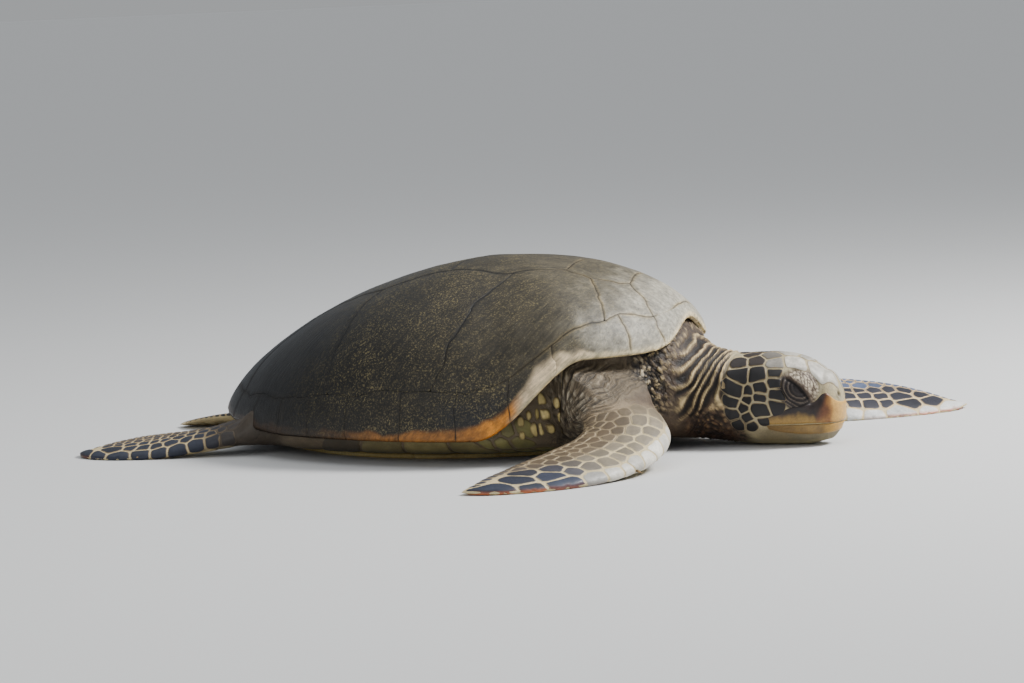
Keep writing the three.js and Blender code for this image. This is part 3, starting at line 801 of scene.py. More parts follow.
# Limbs: at each station the middle's place along x, out from the mid plane and up, half the
# width, half the depth, the tilt in degrees and the lead, by which the leading edge is thicker.
# Then where the hole in the body lies along x and up, the station where the limb proper
# starts, and the spacing of its rings.
fore = {"depth": [58, 52, 42, 27, 17, 12, 9, 4], "lead": [0, 0, 0.3, 0.7, 1, 1, 1, 1],
        "hole": (196, 296), "rise": (36, 140), "start": 1.6, "step": 4.4}
hind = {"x": [-285, -360, -430, -500, -565, -615, -648], "out": [105, 135, 160, 180, 190, 188, 182],
        "up": [52, 40, 26, 18, 13, 9, 5], "width": [58, 52, 45, 50, 52, 40, 12],
        "depth": [40, 32, 22, 15, 11, 8, 4], "tilt": [0, 4, 10, 14, 12, 9, 3],
        "lead": [0, 0, 0.4, 0.8, 1, 1, 1],
        "hole": (-374, -318), "rise": (12, 70), "start": 1.45, "step": 5.0}
limbs = {
    "foreRight": {"side": -1, **fore, "x": [185, 258, 314, 320, 296, 254, 208, 172],
                  "out": [118, 202, 268, 338, 420, 496, 552, 584], "up": [88, 86, 55, 35, 23, 15, 9, 5],
                  "width": [66, 66, 66, 66, 66, 56, 37, 9], "tilt": [0, 4, 9, 13, 14, 13, 10, 4]},
    "foreLeft": {"side": 1, **fore, "x": [185, 262, 338, 412, 492, 566, 620, 655],
                 "out": [118, 200, 252, 292, 336, 384, 426, 458], "up": [88, 86, 58, 38, 28, 20, 12, 6],
                 "width": [66, 66, 64, 66, 67, 58, 38, 9], "tilt": [0, 6, 14, 22, 25, 23, 18, 5]},
    "hindRight": {"side": -1, **hind},
    "hindLeft": {"side": 1, **hind},
}
limbTip = {"back": 14.0, "length": 16.0, "rings": 8, "turn": 1.45}      # where the end starts to close


def limbPath(limb):
    # 400 places along the limb: station number, length so far, stations, heading, across, up
    mirror = {"out": limb["side"], "tilt": limb["side"]}
    stations = np.column_stack([np.array(limb[key], float) * mirror.get(key, 1)
                                for key in ("x", "out", "up", "width", "depth", "tilt", "lead")])
    t = np.linspace(0, len(stations) - 1, 400)
    value = through(np.arange(len(stations)), stations, t)
    steps = np.linalg.norm(np.diff(value[:, :3], axis=0), axis=1)
    heading = unit(np.gradient(value[:, :3], axis=0))
    across = unit(np.cross(heading, [0, 0, 1]))
    tilt = np.radians(value[:, 5])[:, None]
    across = across * np.cos(tilt) + np.cross(heading, across) * np.sin(tilt)
    return t, np.concatenate([[0], np.cumsum(steps)]), value, heading, across, np.cross(across, heading)


def limbRings(limb, fractions):
    # each ring: centre + across * width * side + up * depth * rise * (0.7 + 0.3 * lead * side),
    # from the leading edge over the top, spaced evenly, closing as sqrt(1 - share^2) at the tip
    t, along, *tables = limbPath(limb)
    first = np.interp(limb["start"], t, along)
    closes = along[-1] - limbTip["back"]
    count = int((closes - first) / limb["step"])
    tip = closes + limbTip["length"] * np.sin(np.linspace(0, limbTip["turn"], limbTip["rings"]))
    wanted = np.concatenate([np.linspace(first, closes, count)[:-1], tip])
    shut = np.sqrt(1 - np.clip((wanted - closes) / limbTip["length"], 0, 0.999) ** 2)
    value, heading, across, up = (sampled(wanted, along, table) for table in tables)
    past = np.clip(wanted - along[-1], 0, 3)[:, None]
    angle = 2 * np.pi * fineTurn[None]
    leading = np.cos(angle)
    wide = ((value[:, 3] - 1) * shut)[:, None]
    deep = ((value[:, 4] - 1) * shut)[:, None]
    thick = 0.7 + 0.3 * value[:, 6:7] * leading
    rings = ((value[:, :3] + past * heading)[:, None]
             + across[:, None] * (wide * limb["side"] * leading)[..., None]
             + up[:, None] * (deep * np.sin(angle) * thick)[..., None])
    rings[..., 2] = np.maximum(rings[..., 2], floorGap)
    even = np.stack([evenRing(ring, fractions) for ring in rings])
    return even, heading[0], wanted - first, even[-1].mean(0) + heading[-1] * 1.5


def holeLoop(limb):
    # grid places round the hole, from the middle of its front side over the top
    back, front = (int(np.argmin(np.abs(bodyRows - x))) for x in limb["hole"])
    middleRow = bodyGrid[(back + front) // 2, 8:70]
    low, high = (int(np.argmin(np.abs(middleRow[:, 2] - z))) + 8 for z in limb["rise"])
    half = (low + high) // 2
    path = [(front, c) for c in range(half, high)] + [(r, high) for r in range(front, back, -1)]
    path += [(back, c) for c in range(high, low, -1)] + [(r, low) for r in range(back, front)]
    path = np.array(path + [(front, c) for c in range(low, half)])
    if limb["side"] > 0:
        path[:, 1] = columnCount - path[:, 1]
        low, high = columnCount - high, columnCount - low
    inHole[back:front, low:high] = True
    return path[:, 0], path[:, 1]


bodyIndex = np.arange(rowCount * columnCount).reshape(rowCount, columnCount)
skinPoints = [bodyGrid.reshape(-1, 3)]
skinCount = bodyIndex.size
inHole = np.zeros((rowCount, columnCount), bool)      # faces left out, by their first corner
for name, limb in limbs.items():
    loop = holeLoop(limb)
    border = bodyGrid[loop]
    sides = sidesOf(border)
    fractions = np.concatenate([[0], np.cumsum(sides)[:-1]]) / sides.sum()
    rings, heading, along, tip = limbRings(limb, fractions)
    # from the hole to the first ring: a cubic that leaves and arrives along the limb
    offset = rings[0].mean(0) - border.mean(0)
    gap = np.linalg.norm(offset)
    count = max(4, int(gap / limb["step"]))
    s = (np.arange(1, count) / count)[:, None, None]
    grid = np.concatenate([cubic(s, border, rings[0], offset, heading * gap), rings])
    grid[..., 2] = np.maximum(grid[..., 2], floorGap)
    size = grid.size // 3
    index = skinCount + np.arange(size).reshape(grid.shape[:2])
    skinPoints += [grid.reshape(-1, 3), tip[None]]
    limb["tip"] = skinCount + size
    skinCount += size + 1
    limb["index"] = np.concatenate([bodyIndex[loop][None], index])
    limb["along"] = np.concatenate([np.linspace(-gap, 0, count + 1)[:-1], along])
    limb["fractions"] = fractions
    print("limb", name, limb["index"].shape, round(gap))
skinPoints.append([[tailTip["start"] - tailTip["length"], 0, tailTip["height"]],
                   [snout["start"] + snout["length"], 0, snout["height"]]])
skinPoints = np.concatenate(skinPoints)
tailPole, nosePole = skinCount, skinCount + 1
limbCorners = {   # of each limb's map
    "foreRight": (0.01, 0.53), "foreLeft": (0.51, 0.53), "hindRight": (0.01, 0.77), "hindLeft": (0.51, 0.77),
}


def fan(pole, ring, way=1):
    # triangles from the pole to each side of the ring; way -1 turns them round
    return np.stack([np.full(len(ring), pole), ring, np.roll(ring, -1)], -1)[:, ::way]


def fanMap(u, v, beyond, way=1):
    # the pole lies a little beyond the ring
    rim = np.stack([v[:-1], v[:-1], v[1:]], -1)
    corners = np.stack([np.full(rim.shape, u), rim], -1)
    corners[:, 0, 0] += beyond
    return corners[:, ::way]


def skinFaces():
    # quads and triangles of the whole skin with their map: the body across the lower half,
    # the limbs above it
    rowCorners, columnCorners = ringFaces(rowCount, columnCount)
    keep = ~inHole[rowCorners[:, 0], columnCorners[:, 0]]
    rowCorners, columnCorners = rowCorners[keep], columnCorners[keep]
    quads = [bodyIndex[rowCorners, columnCorners % columnCount]]
    u = 0.01 + 0.98 * (bodyRows - bodyRows[0]) / (bodyRows[-1] - bodyRows[0])
    v = 0.01 + 0.5 * np.append(bodyFractions, 1.0)
    maps = [np.stack([u[rowCorners], v[columnCorners]], -1)]
    triangles = [fan(tailPole, bodyIndex[0])[:, [0, 2, 1]], fan(nosePole, bodyIndex[-1])]
    fanMaps = [fanMap(u[0], v, -0.004), fanMap(u[-1], v, 0.004)]
    for name, limb in limbs.items():
        index, along = limb["index"], limb["along"]
        way = limb["side"]          # a right limb's rings run the other way
        rowCorners, columnCorners = (corners[:, ::way] for corners in ringFaces(*index.shape))
        quads.append(index[rowCorners, columnCorners % index.shape[1]])
        left, low = limbCorners[name]
        limb["u"] = u = left + 0.47 * (along - along[0]) / (along[-1] - along[0])
        limb["v"] = v = low + 0.21 * np.append(limb["fractions"], 1.0)
        maps.append(np.stack([u[rowCorners], v[columnCorners]], -1))
        triangles.append(fan(limb["tip"], index[-1], way))
        fanMaps.append(fanMap(u[-1], v, 0.004, way))
    return [np.concatenate(part) for part in (quads, triangles, maps, fanMaps)]


skinQuads, skinTriangles, skinUv, skinFanUv = skinFaces()


def summed(index, values, count):
    # the sum of the values that fall to each point
    return np.stack([np.bincount(index, column, count) for column in values.T], -1)


def averaged(points, quads, weights, rounds):
    # moves each point half way to the mean of its neighbours along edges, by its weight
    start = quads.ravel(order="F")
    end = np.roll(quads, -1, 1).ravel(order="F")
    start, end = np.concatenate([start, end]), np.concatenate([end, start])
    count = np.bincount(start, minlength=len(points)).clip(1)
    for _ in range(rounds):
        mean = summed(start, points[end], len(points)) / count[:, None]
        points = points + (mean - points) * (0.5 * weights)[:, None]
    return points


def vertexNormals(points, quads):
    # the sum of the cross products of each face's diagonals
    a, b, c, d = (points[quads[:, k]] for k in range(4))
    normal = np.cross(c - a, d - b)
    total = sum(summed(quads[:, k], normal, len(points)) for k in range(4))
    return total / np.linalg.norm(total, axis=1, keepdims=True).clip(1e-9)


belly = bodyIndex[rowCount // 2, 0]
if vertexNormals(skinPoints, skinQuads)[belly, 2] > 0:
    skinQuads, skinTriangles, skinUv, skinFanUv = (
        part[:, ::-1] for part in (skinQuads, skinTriangles, skinUv, skinFanUv))

# shares of each point: how near a joint it is, and how far out on a limb it lies
jointShare = np.zeros(len(skinPoints))
limbShare = np.zeros(len(skinPoints))      # 0 on the body, 1 from the start of each limb proper
limbAlong = np.full(len(skinPoints), -999.0)
limbAcross = np.zeros(len(skinPoints))     # way round each limb from its leading edge
for limb in limbs.values():
    index, fractions = limb["index"], limb["fractions"]
    way = np.where(fractions > 0.5, fractions - 1, fractions)
    limbAcross[index[1:]] = (sidesOf(skinPoints[index]).sum(1)[:, None] * way)[1:]
    reach = np.full(len(skinPoints), 1e9)
    for spot in skinPoints[index[0]][::2]:
        reach = np.minimum(reach, np.linalg.norm(skinPoints - spot, axis=1))
    jointShare = np.maximum(jointShare, fading(reach, 10, 42))
    limbAlong[index[1:]] = limb["along"][1:, None]
    limbShare[index[1:]] = smooth(limb["along"][1:], limb["along"][0], 0)[:, None]
skinPoints = averaged(skinPoints, skinQuads, jointShare, 36)
skinPoints[:, 2] = np.maximum(skinPoints[:, 2], floorGap)
print("stage: skin joined", len(skinPoints))


# Head: the eyelids, brow, cheek and jaw as one height over the plain head.
face = {
    "eye": (520.0, 92.0),        # middle of the closed slit, along x and up
    "slitLength": 27.0, "bulge": 5.0, "slitDepth": 3.8, "lidFolds": 1.3, "foldWidth": 5.4,
    "mouth": 36.0,               # height of the mouth line
    "mouthBack": 466.0,
    "nostril": (14.0, 79.0),     # out from the mid plane and up
    # height, then middle and width along x, and middle and width up
    "cheek": (3.0, 452, 30, 74, 30), "underEye": (-2.0, 545, 12, 74, 14), "behind": (-1.3, 487, 16, 48, 9),
}


def eyePlace(place):
    # along the slit (forward and down), across it (positive over the upper lid), and reach
    x, z = place[..., 0] - face["eye"][0], place[..., 2] - face["eye"][1]
    along, across = (x - z) * 0.7071, (x + z) * 0.7071
    across = across + 0.007 * along**2 - 1
    return along, across, np.maximum(np.hypot(along / 1.2, across) + 1.1 * lumps(place, 13, 62), 0)


def nostrilReach(place):
    # distance from the middle of the nearer nostril, which is a little taller than wide
    out, up = face["nostril"]
    return np.hypot((np.abs(place[..., 1]) - out) * 1.2, place[..., 2] - up)


def eyeForm(place, side):
    # a bulge with a groove and a brow round it, the slit with its upper edge, the round of
    # the upper lid, rings of folds on the lower one and pebbles on the upper
    along, across, reach = eyePlace(place)
    height = face["bulge"] * hill(reach, 0, 23, 2.6)
    height = height - 2.0 * hill(reach, 24.5, 3.0) * smooth(across, -14, 2)
    height = height + 2.2 * hill(reach, 29, 6) * smooth(place[..., 2], 92, 108)
    slit = fading(np.abs(along), face["slitLength"] * 0.72, face["slitLength"])
    height = height + slit * (1.8 * hill(across, 4.4, 2.4) - face["slitDepth"] * hill(across, 0, 1.7))
    height = height + 1.6 * hill(np.hypot(along / 1.1, across - 9), 0, 9)
    folds = np.cos(2 * np.pi * (reach - 3) / face["foldWidth"]) * plateau(reach, 3, 7, 22, 28)
    height = height + face["lidFolds"] * folds * smooth(-across, 1, 4)
    bumps = smooth(pebbles(place, 5.5, 64), 0.02, 0.4) - 0.5
    return (height + bumps * smooth(across, 2, 5) * fading(reach, 20, 26)) * side


def headForm(place):
    # the eye, then the cheek, two hollows behind and under it, the mouth line, the lower jaw
    # set back, and the nostrils with their rims
    x, z = place[..., 0], place[..., 2]
    side = smooth(np.abs(place[..., 1]), 22, 38)
    height = eyeForm(place, side)
    for key in ("cheek", "underEye", "behind"):
        lift, middleX, lengthX, middleZ, lengthZ = face[key]
        height = height + lift * hill(x, middleX, lengthX) * hill(z, middleZ, lengthZ) * side
    back = smooth(x, face["mouthBack"] - 14, face["mouthBack"] + 8)
    height = height - 1.8 * hill(z, face["mouth"], 1.6) * back
    height = height - 2.4 * smooth(face["mouth"] - z, 0, 6) * back * smooth(z, 0, 14)
    nostril = nostrilReach(place)
    height = height + (1.3 * hill(nostril, 6.0, 2.0) - 4.6 * hill(nostril, 0, 3.4)) * smooth(x, 558, 564)
    return height * smooth(x, 425, 450)


neck = {"fold": 6.4, "pleat": 1.1, "net": 4.0, "wrinkle": 3.4,      # heights of the relief
        "widest": 13.5, "narrowest": 7.8,                           # folds at the shell and at the head
        "armpit": (196.0, 50.0)}                                    # along x and up
foldPlaces = np.linspace(250, 520, 400)
foldWidths = mix(neck["widest"], neck["narrowest"], smooth(foldPlaces[1:], 345, 415))
foldCount = np.concatenate([[0], np.cumsum(np.diff(foldPlaces) / foldWidths)])


def ridged(phase, sharpness):
    # rounded ridges with valleys between: (0.5 + 0.5 cos(turn * phase))^sharpness
    return (0.5 + 0.5 * np.cos(2 * np.pi * phase)) ** sharpness


def neckRelief(place, onBody):
    # height, and the share from painted shade in the valleys to a painted highlight on the crests,
    # of the folds round the neck and their pleats, and of the net of cells by the shell and low on the neck
    x, y, z = place.T
    wander = 0.8 * lumps(place, 58, 51) + 0.32 * lumps(place, 21, 52)
    below = np.clip(bodyValue("top", np.clip(x, 300, 552)) - z, 0, 200)
    phase = np.interp(x + 0.42 * fading(x, 370, 420) * below, foldPlaces, foldCount) + wander
    fold = ridged(phase, 1.45)
    strength = plateau(x, 326, 348, 398, 416) * onBody
    strength = strength * (0.12 + 0.88 * smooth(z, 26, 78)) * (0.85 + 0.3 * lumps(place, 55, 53))
    height = neck["fold"] * strength * (fold - 0.5)
    crestLight = mix(0.62, fold, np.clip(strength * 1.4, 0, 1))
    pleat = ridged(phase * 2.0 + 0.5 * lumps(place, 12, 54), 0.8)
    pleated = plateau(x, 330, 350, 398, 416) * onBody
    height = height + neck["pleat"] * pleated * (pleat - 0.6) * (0.45 + 0.75 * fading(z, 50, 100))
    crestLight = crestLight * mix(1, 0.78 + 0.22 * pleat, pleated)
    cells = smooth(pebbles(place, 10, 61), 0.02, 0.42)
    net = hill(x, 306, 24) * smooth(z, 40, 80) * smooth(x, 262, 285) * (1 - 0.8 * smooth(np.abs(y), 150, 190))
    net = np.maximum(net, 0.5 * plateau(x, 340, 362, 406, 420) * fading(z, 46, 84)) * onBody
    height = height + neck["net"] * net * (cells - 0.7)
    crestLight = mix(crestLight, cells, np.clip(net, 0, 1) * 0.9)
    return height, crestLight, phase, below, pleated, net


def skinRelief(place, limbShare):
    # height over the plain skin, the share 0 (valley, painted shade) to 1 (crest, painted
    # highlight) for its colour, the places for the finest creases, across them and along them in
    # their own widths, and where they are
    x, y, z = place.T
    height, crestLight, phase, below, pleated, net = neckRelief(place, 1 - limbShare)
    # wrinkles over the shoulder spread from the armpit
    out, up = x - neck["armpit"][0], z - neck["armpit"][1]
    across = np.hypot(out, up)
    swirl = np.arctan2(up, out) * 7.5 + 0.9 * lumps(place, 34, 71) + 0.3 * lumps(place, 12, 72)
    creases = ridged(swirl, 0.9)
    shoulder = hill(across, 50, 66) * smooth(np.abs(y), 120, 165) * smooth(x, 165, 200)
    shoulder = shoulder * fading(limbAlong, 10, 60)
    height = height + neck["wrinkle"] * shoulder * (creases - 0.5)
    crestLight = mix(crestLight, mix(0.35, 0.9, creases), np.clip(shoulder, 0, 1))
    # small pebbles wherever the skin isn't under the large scales
    bare = fading(x, 390, 404) * fading(limbAlong, 10, 60)
    small = smooth(pebbles(place, 5.2, 65), 0.02, 0.4)
    height = height + 0.55 * bare * (small - 0.6) + 0.5 * bare * lumps(place, 16, 66)
    crestLight = crestLight * mix(1, 0.86 + 0.14 * small, bare)
    creased = np.maximum(pleated * (1 - 0.5 * smooth(x, 396, 420)), np.maximum(shoulder * 1.4, net * 0.6))
    return height, np.clip(crestLight, 0, 1), {
        "growNeck": np.stack([phase * 2.5, below / 34, 0.3 * phase], -1),
        "growArm": np.stack([swirl * 3.4, across / 26, np.sign(y) * 5], -1),
        "atArm": smooth(np.abs(y), 118, 150) * smooth(330 - x, 0, 30),
        "creased": np.clip(creased, 0, 1), "netted": net}


plainSkin = skinPoints.copy()
relief, crestLight, skinShares = skinRelief(plainSkin, limbShare)
form = np.where(limbAlong > -900, 0, headForm(plainSkin))
skinPoints = plainSkin + vertexNormals(skinPoints, skinQuads) * (relief + form)[:, None]
skinPoints[:, 2] = np.maximum(skinPoints[:, 2], 0.3)
print("stage: head and neck formed")

# painted light: near black painted shade in the neck's valleys, eye slits and nostrils, darker slopes and
# jaw, and painted highlights on the neck's crests, the shoulders' ridges and the upper lids
skinPaint = tones({   # neck from valleys to crests, shoulders, head, eyelids, jaw and limbs
    "valleyShadeAndNet": (22, 16, 12), "slopeShaded": (72, 57, 43), "crestLight": (222, 196, 142), "thigh": (66, 58, 50),
    "shoulder": (104, 91, 71), "shoulderLit": (196, 183, 158),
    "headPale": (158, 148, 122), "headWarm": (176, 160, 120), "reticule": (84, 68, 52),
    "lowerLid": (38, 32, 31), "lidFold": (122, 108, 92), "upperLid": (68, 53, 42),
    "upperLidLit": (234, 218, 188), "slit": (12, 9, 8), "throat": (104, 99, 84), "jaw": (128, 112, 78),
    "limbInner": (112, 96, 76), "limbBrown": (132, 114, 88), "limbCream": (198, 180, 138),
    "belly": (196, 182, 138),
})


def neckTints(place, crestLight, fine, soft):
    # near black painted shade in the valleys, through a brown darkened as painted shade, to an ochre
    # painted highlight on the crests higher up; redder and darker low down; greyer at the shoulders,
    # with painted shade in their creases and a painted highlight on their ridges
    paint = skinPaint
    x, y, z = place.T
    # painted highlight on the crests, stronger higher up
    lit = smooth(crestLight, 0.5, 0.86) * smooth(z + 26 * soft, 16, 76) * (0.78 + 0.22 * fine)
    lit = lit * np.maximum(smooth(x, 318, 336), 0.8 * np.clip(skinShares["netted"], 0, 1))
    colour = tinted([smooth(crestLight, 0.08, 0.5), 0.92 * lit], paint["valleyShadeAndNet"], paint["slopeShaded"], paint["crestLight"])
    low = fading(z, 25, 80) * plateau(x, 330, 360, 400, 440)
    colour = covered(colour, colour * np.array([0.9, 0.62, 0.46]), 0.8 * low)
    arm = smooth(np.abs(y), 110, 150) * fading(x, 300, 330)
    # painted shade in the shoulder's creases and a painted highlight on its ridges
    armTone = tinted([smooth(crestLight, 0.3, 0.62), smooth(crestLight, 0.66, 0.95)],
                     paint["valleyShadeAndNet"], paint["shoulder"], paint["shoulderLit"])
    colour = covered(colour, armTone, 0.9 * arm)
    return covered(colour, paint["thigh"], 0.8 * fading(x, -330, -250))


def eyeTints(colour, place, fine):
    # dark lids with paler folds, a lit and scaly upper one with painted highlights, and near black
    # painted shade in the slit
    paint = skinPaint
    along, across, reach = eyePlace(place)
    side = smooth(np.abs(place[:, 1]), 22, 36) * smooth(place[:, 0], 450, 470)
    below = smooth(-across, 0, 6) * smooth(along, -16, 0)
    folds = smooth(np.cos(2 * np.pi * (reach - 3) / face["foldWidth"]), 0.45, 1) * smooth(reach, 8, 12)
    scaly = smooth(pebbles(place, 5.5, 64), 0.05, 0.35) * (0.55 + 0.45 * lumps(place, 7, 68))
    lids = tinted([0.7 * folds * (0.8 + 0.4 * fine), smooth(across, 0, 3), smooth(across, 1, 10) * scaly],
                  paint["lowerLid"], paint["lidFold"], paint["upperLid"], paint["upperLidLit"])
    colour = covered(colour, lids, fading(reach - 7 * below, 24, 30) * side)
    return covered(colour, paint["slit"], 0.95 * hill(across, 0, 1.5) * fading(np.abs(along), 20, 26) * side)


def skinTints(place, crestLight):
    # the neck, then over it the head with a net low at its back, the eyes, nostrils with painted
    # shade, throat and jaw in their own duller tones darkened as painted shade under the head, and
    # the limbs: cream between the leading scales, brown inwards and near the body
    paint = skinPaint
    x, z = place[:, 0], place[:, 2]
    fine, soft = lumps(place, 9, 81), lumps(place, 40, 82)
    headTone = tinted([0.5 + 0.5 * fine], paint["headPale"], paint["headWarm"])
    # the head's net lines take the same near black as the painted shade in the neck's valleys
    net = tinted([smooth(pebbles(place, 7.0, 67), 0.03, 0.25)], paint["valleyShadeAndNet"], paint["reticule"])
    headTone = covered(headTone, net, fading(x + 6 * fine, 428, 452) * fading(z + 6 * soft, 40, 62))
    colour = covered(neckTints(place, crestLight, fine, soft), headTone,
                     smooth(x + 5 * soft - 0.1 * (130 - z), 396, 412))
    colour = eyeTints(colour, place, fine)
    # near black painted shade in the nostrils
    colour = covered(colour, paint["slit"], 0.95 * hill(nostrilReach(place), 0, 4.2) * smooth(x, 556, 562))
    # the low head: the throat's and jaw's own tones, darkened as painted shade under the head
    jawTone = tinted([0.5 + 0.5 * soft], paint["throat"], paint["jaw"])
    colour = covered(colour, jawTone, 0.85 * fading(z, 24, 40) * smooth(x, 435, 468))
    far = np.clip(limbAlong, 0, 400)
    inner = smooth(limbAcross + 8 * soft, 52, 84)
    limbTone = tinted([smooth(far, 0, 70), inner * 0.9],
                      paint["limbInner"], paint["limbCream"], paint["limbBrown"])
    limbTone = covered(limbTone, paint["thigh"], (x < -300) * fading(far, 10, 60))
    colour = covered(colour, limbTone, smooth(limbAlong, -12, 22))
    return covered(colour, paint["belly"], 0.5 * fading(z, 3, 10) * smooth(np.abs(x), 100, 200))


# furrow and pitShade: painted shade in the creases and pits; ridge: painted highlight on the ridges between
# the creases
hide = {"fine": 420.0, "fineDetail": (6, 0.65), "broad": 60.0, "broadDetail": 4, "broadShare": 0.7,
        "contrast": 0.2, "cells": 330.0, "bump": 0.3, "net": 0.35, "creases": 1.0, "creaseBump": 0.8,
        "furrowShade": 0.34, "ridgeLight": 1.5, "pits": 118.0, "pitShade": (20, 15, 11),
        "rough": 0.6, "specular": 0.4, "coat": 0.0}
fleshNodes = ["head", "neck", "trunk", "tail", "arm_left", "arm_right", "blade_left", "blade_right",
              "leg_left", "leg_right"]
used = np.zeros(len(skinPoints), bool)
used[skinQuads.ravel()] = True
used[skinTriangles.ravel()] = True
renumber = np.cumsum(used) - 1
skinShape = (skinPoints[used], renumber[skinQuads], renumber[skinTriangles], skinUv, skinFanUv)
skinTint = skinTints(plainSkin, crestLight)
addPiece("skin", skinShape, hideMaterial("turtleHide", hide), "skin", fleshNodes, tint=skinTint[used],
         **{key: values[used] for key, values in skinShares.items()})
print("stage: skin", used.sum(), 2 * len(skinQuads) + len(skinTriangles))


# Scales: each is a low closed dome over the skin. Its outline is the smooth least of the
# distances to its neighbours: radius = (sum of reach^-14)^(-1/14), where the reach towards a
# neighbour is (share * distance - half the gap) / cos(angle from the neighbour's bearing).
skinNormals = vertexNormals(skinPoints, skinQuads)
cellSharpness = 14.0
bodyRound = sidesOf(skinPoints[bodyIndex]).sum(1)
for limb in limbs.values():
    limb["round"] = sidesOf(skinPoints[limb["index"]]).sum(1)


def cellOutlines(seeds, sizes, gap, angles):
    # radius at each angle, 64 scales at a time; alone, a scale is 1.35 sizes wide
    radii = np.zeros((len(seeds), len(angles)))
    for start in range(0, len(seeds), 64):
        part = slice(start, start + 64)
        own = sizes[part, None]
        away = seeds[None] - seeds[part, None]
        far = np.hypot(away[..., 0], away[..., 1])
        cosine = np.cos(angles - np.arctan2(away[..., 1], away[..., 0])[..., None])
        reach = (own / (own + sizes[None]) * far - gap / 2).clip(0.4)[..., None] / cosine.clip(0.02)
        near = (far > 1e-6) & (far < 4 * own + 30)
        total = np.where(near[..., None] & (cosine > 0.05), reach**-cellSharpness, 0).sum(1)
        radii[part] = (total + (1.35 * own) ** -cellSharpness) ** (-1 / cellSharpness)
    return radii


def onGrid(index, row, fraction, fractions):
    # the skin's point and outward direction at a place between the grid's own
    rows, columns = index.shape
    row = np.clip(row, 0, rows - 1.001)
    wrapped = np.concatenate([fractions, [1 + fractions[0]]])
    column = np.interp(fraction % 1.0, wrapped, np.arange(columns + 1))
    r, c = np.floor(row).astype(int), np.floor(column).astype(int) % columns
    f, g = (row - r)[..., None], (column - np.floor(column))[..., None]
    after = (c + 1) % columns
    return [mix(mix(table[index[r, c]], table[index[r, after]], g),
                mix(table[index[r + 1, c]], table[index[r + 1, after]], g), f)
            for table in (skinPoints, skinNormals)]


def onBody(plane):
    # plane: along x, and the way round from the top of the back, positive on the right
    row = np.interp(plane[..., 0], bodyRows, np.arange(rowCount))
    fraction = 0.5 - plane[..., 1] / np.interp(plane[..., 0], bodyRows, bodyRound)
    point, normal = onGrid(bodyIndex, row, fraction, bodyFractions)
    return point, normal, np.stack([0.01 + 0.98 * row / rowCount, 0.01 + 0.5 * fraction], -1)


def onLimb(limb):
    # plane: along the limb, and the way round from its leading edge over the top
    def place(plane):
        # the skin's point, outward direction and map there
        row = np.interp(plane[..., 0], limb["along"], np.arange(len(limb["along"])))
        fraction = plane[..., 1] / np.interp(plane[..., 0], limb["along"], limb["round"])
        point, normal = onGrid(limb["index"], row, fraction, limb["fractions"])
        u = np.interp(plane[..., 0], limb["along"], limb["u"])
        return point, normal, np.stack([u, limb["v"][0] + 0.21 * (fraction % 1.0)], -1)
    return place


scaleProfile = {   # share of the radius and height share of each ring, from the middle outwards
    "share": np.array([0.3, 0.55, 0.74, 0.87, 0.95, 1.0, 1.02]),
    "height": np.array([0.98, 0.92, 0.82, 0.66, 0.44, 0.12, -1.0]),
    "sunk": 1.2,        # how deep the underside lies in the skin
}
plateProfile = {   # the same for the head's wide plates, with more rings
    "share": np.array([0.14, 0.28, 0.42, 0.55, 0.66, 0.76, 0.85, 0.92, 0.97, 1.0, 1.02]),
    "height": np.array([1.0, 0.99, 0.97, 0.94, 0.91, 0.87, 0.79, 0.62, 0.4, 0.12, -1.0]),
    "sunk": 1.2,
}


def scaleShape(seeds, sizes, gap, height, place, corners, keep=None, profile=scaleProfile):
    # rings at the profile's shares of each outline, lifted off the skin by its heights;
    # returns the shape, each point's distance from the edge and the points of one scale
    angles = np.linspace(0, 2 * np.pi, corners, endpoint=False)
    keep = np.ones(len(seeds), bool) if keep is None else keep
    radii = cellOutlines(seeds, sizes, gap, angles)[keep]
    height = np.broadcast_to(height, len(seeds))[keep][:, None, None]
    seeds, share, lift = seeds[keep], profile["share"], profile["height"]
    bearing = np.stack([np.cos(angles), np.sin(angles)], -1)
    plane = seeds[:, None, None] + (radii[:, None, :] * share[None, :, None])[..., None] * bearing
    rise = np.where(lift > 0, lift, 0)[None, :, None] * height
    rise = rise - np.where(lift < 0, profile["sunk"], 0)[None, :, None]
    point, normal, uv = place(plane)
    rings = point + normal * rise[..., None]
    top, topNormal, topUv = place(seeds)
    shape = stacks(rings, top + topNormal * height[:, 0], top - topNormal * profile["sunk"], uv, topUv, topUv)
    shape[0][:, 2] = np.maximum(shape[0][:, 2], 0.15)
    fromEdge = (1 - share).clip(0)[None, :, None] * radii[:, None, :]
    fromEdge = [fromEdge.reshape(len(seeds), -1), radii.mean(1)[:, None], np.zeros((len(seeds), 1))]
    return shape, np.concatenate(fromEdge, 1), rings.shape[1] * rings.shape[2] + 2


def scaleTints(shape, fromEdge, each, cores, border, rim):
    # each scale's own colour, shading to the border's over the last of its edge
    points = shape[0]
    if np.ndim(border) == 2:
        border = np.repeat(border, each, axis=0)
    edge = fading(fromEdge.ravel() + 0.8 * lumps(points, 7, 91), 0.4, rim)
    vein = 1 + 0.16 * lumps(points, 11, 92) + 0.08 * lumps(points, 3.5, 93)
    return covered(np.repeat(cores, each, axis=0) * vein[:, None], border, edge * 0.85)


random = np.random.default_rng(11)


def uneven(cores, amount, most=1.35):
    # every scale a little lighter or darker
    return cores * (1 + amount * random.standard_normal(len(cores))).clip(0.7, most)[:, None]


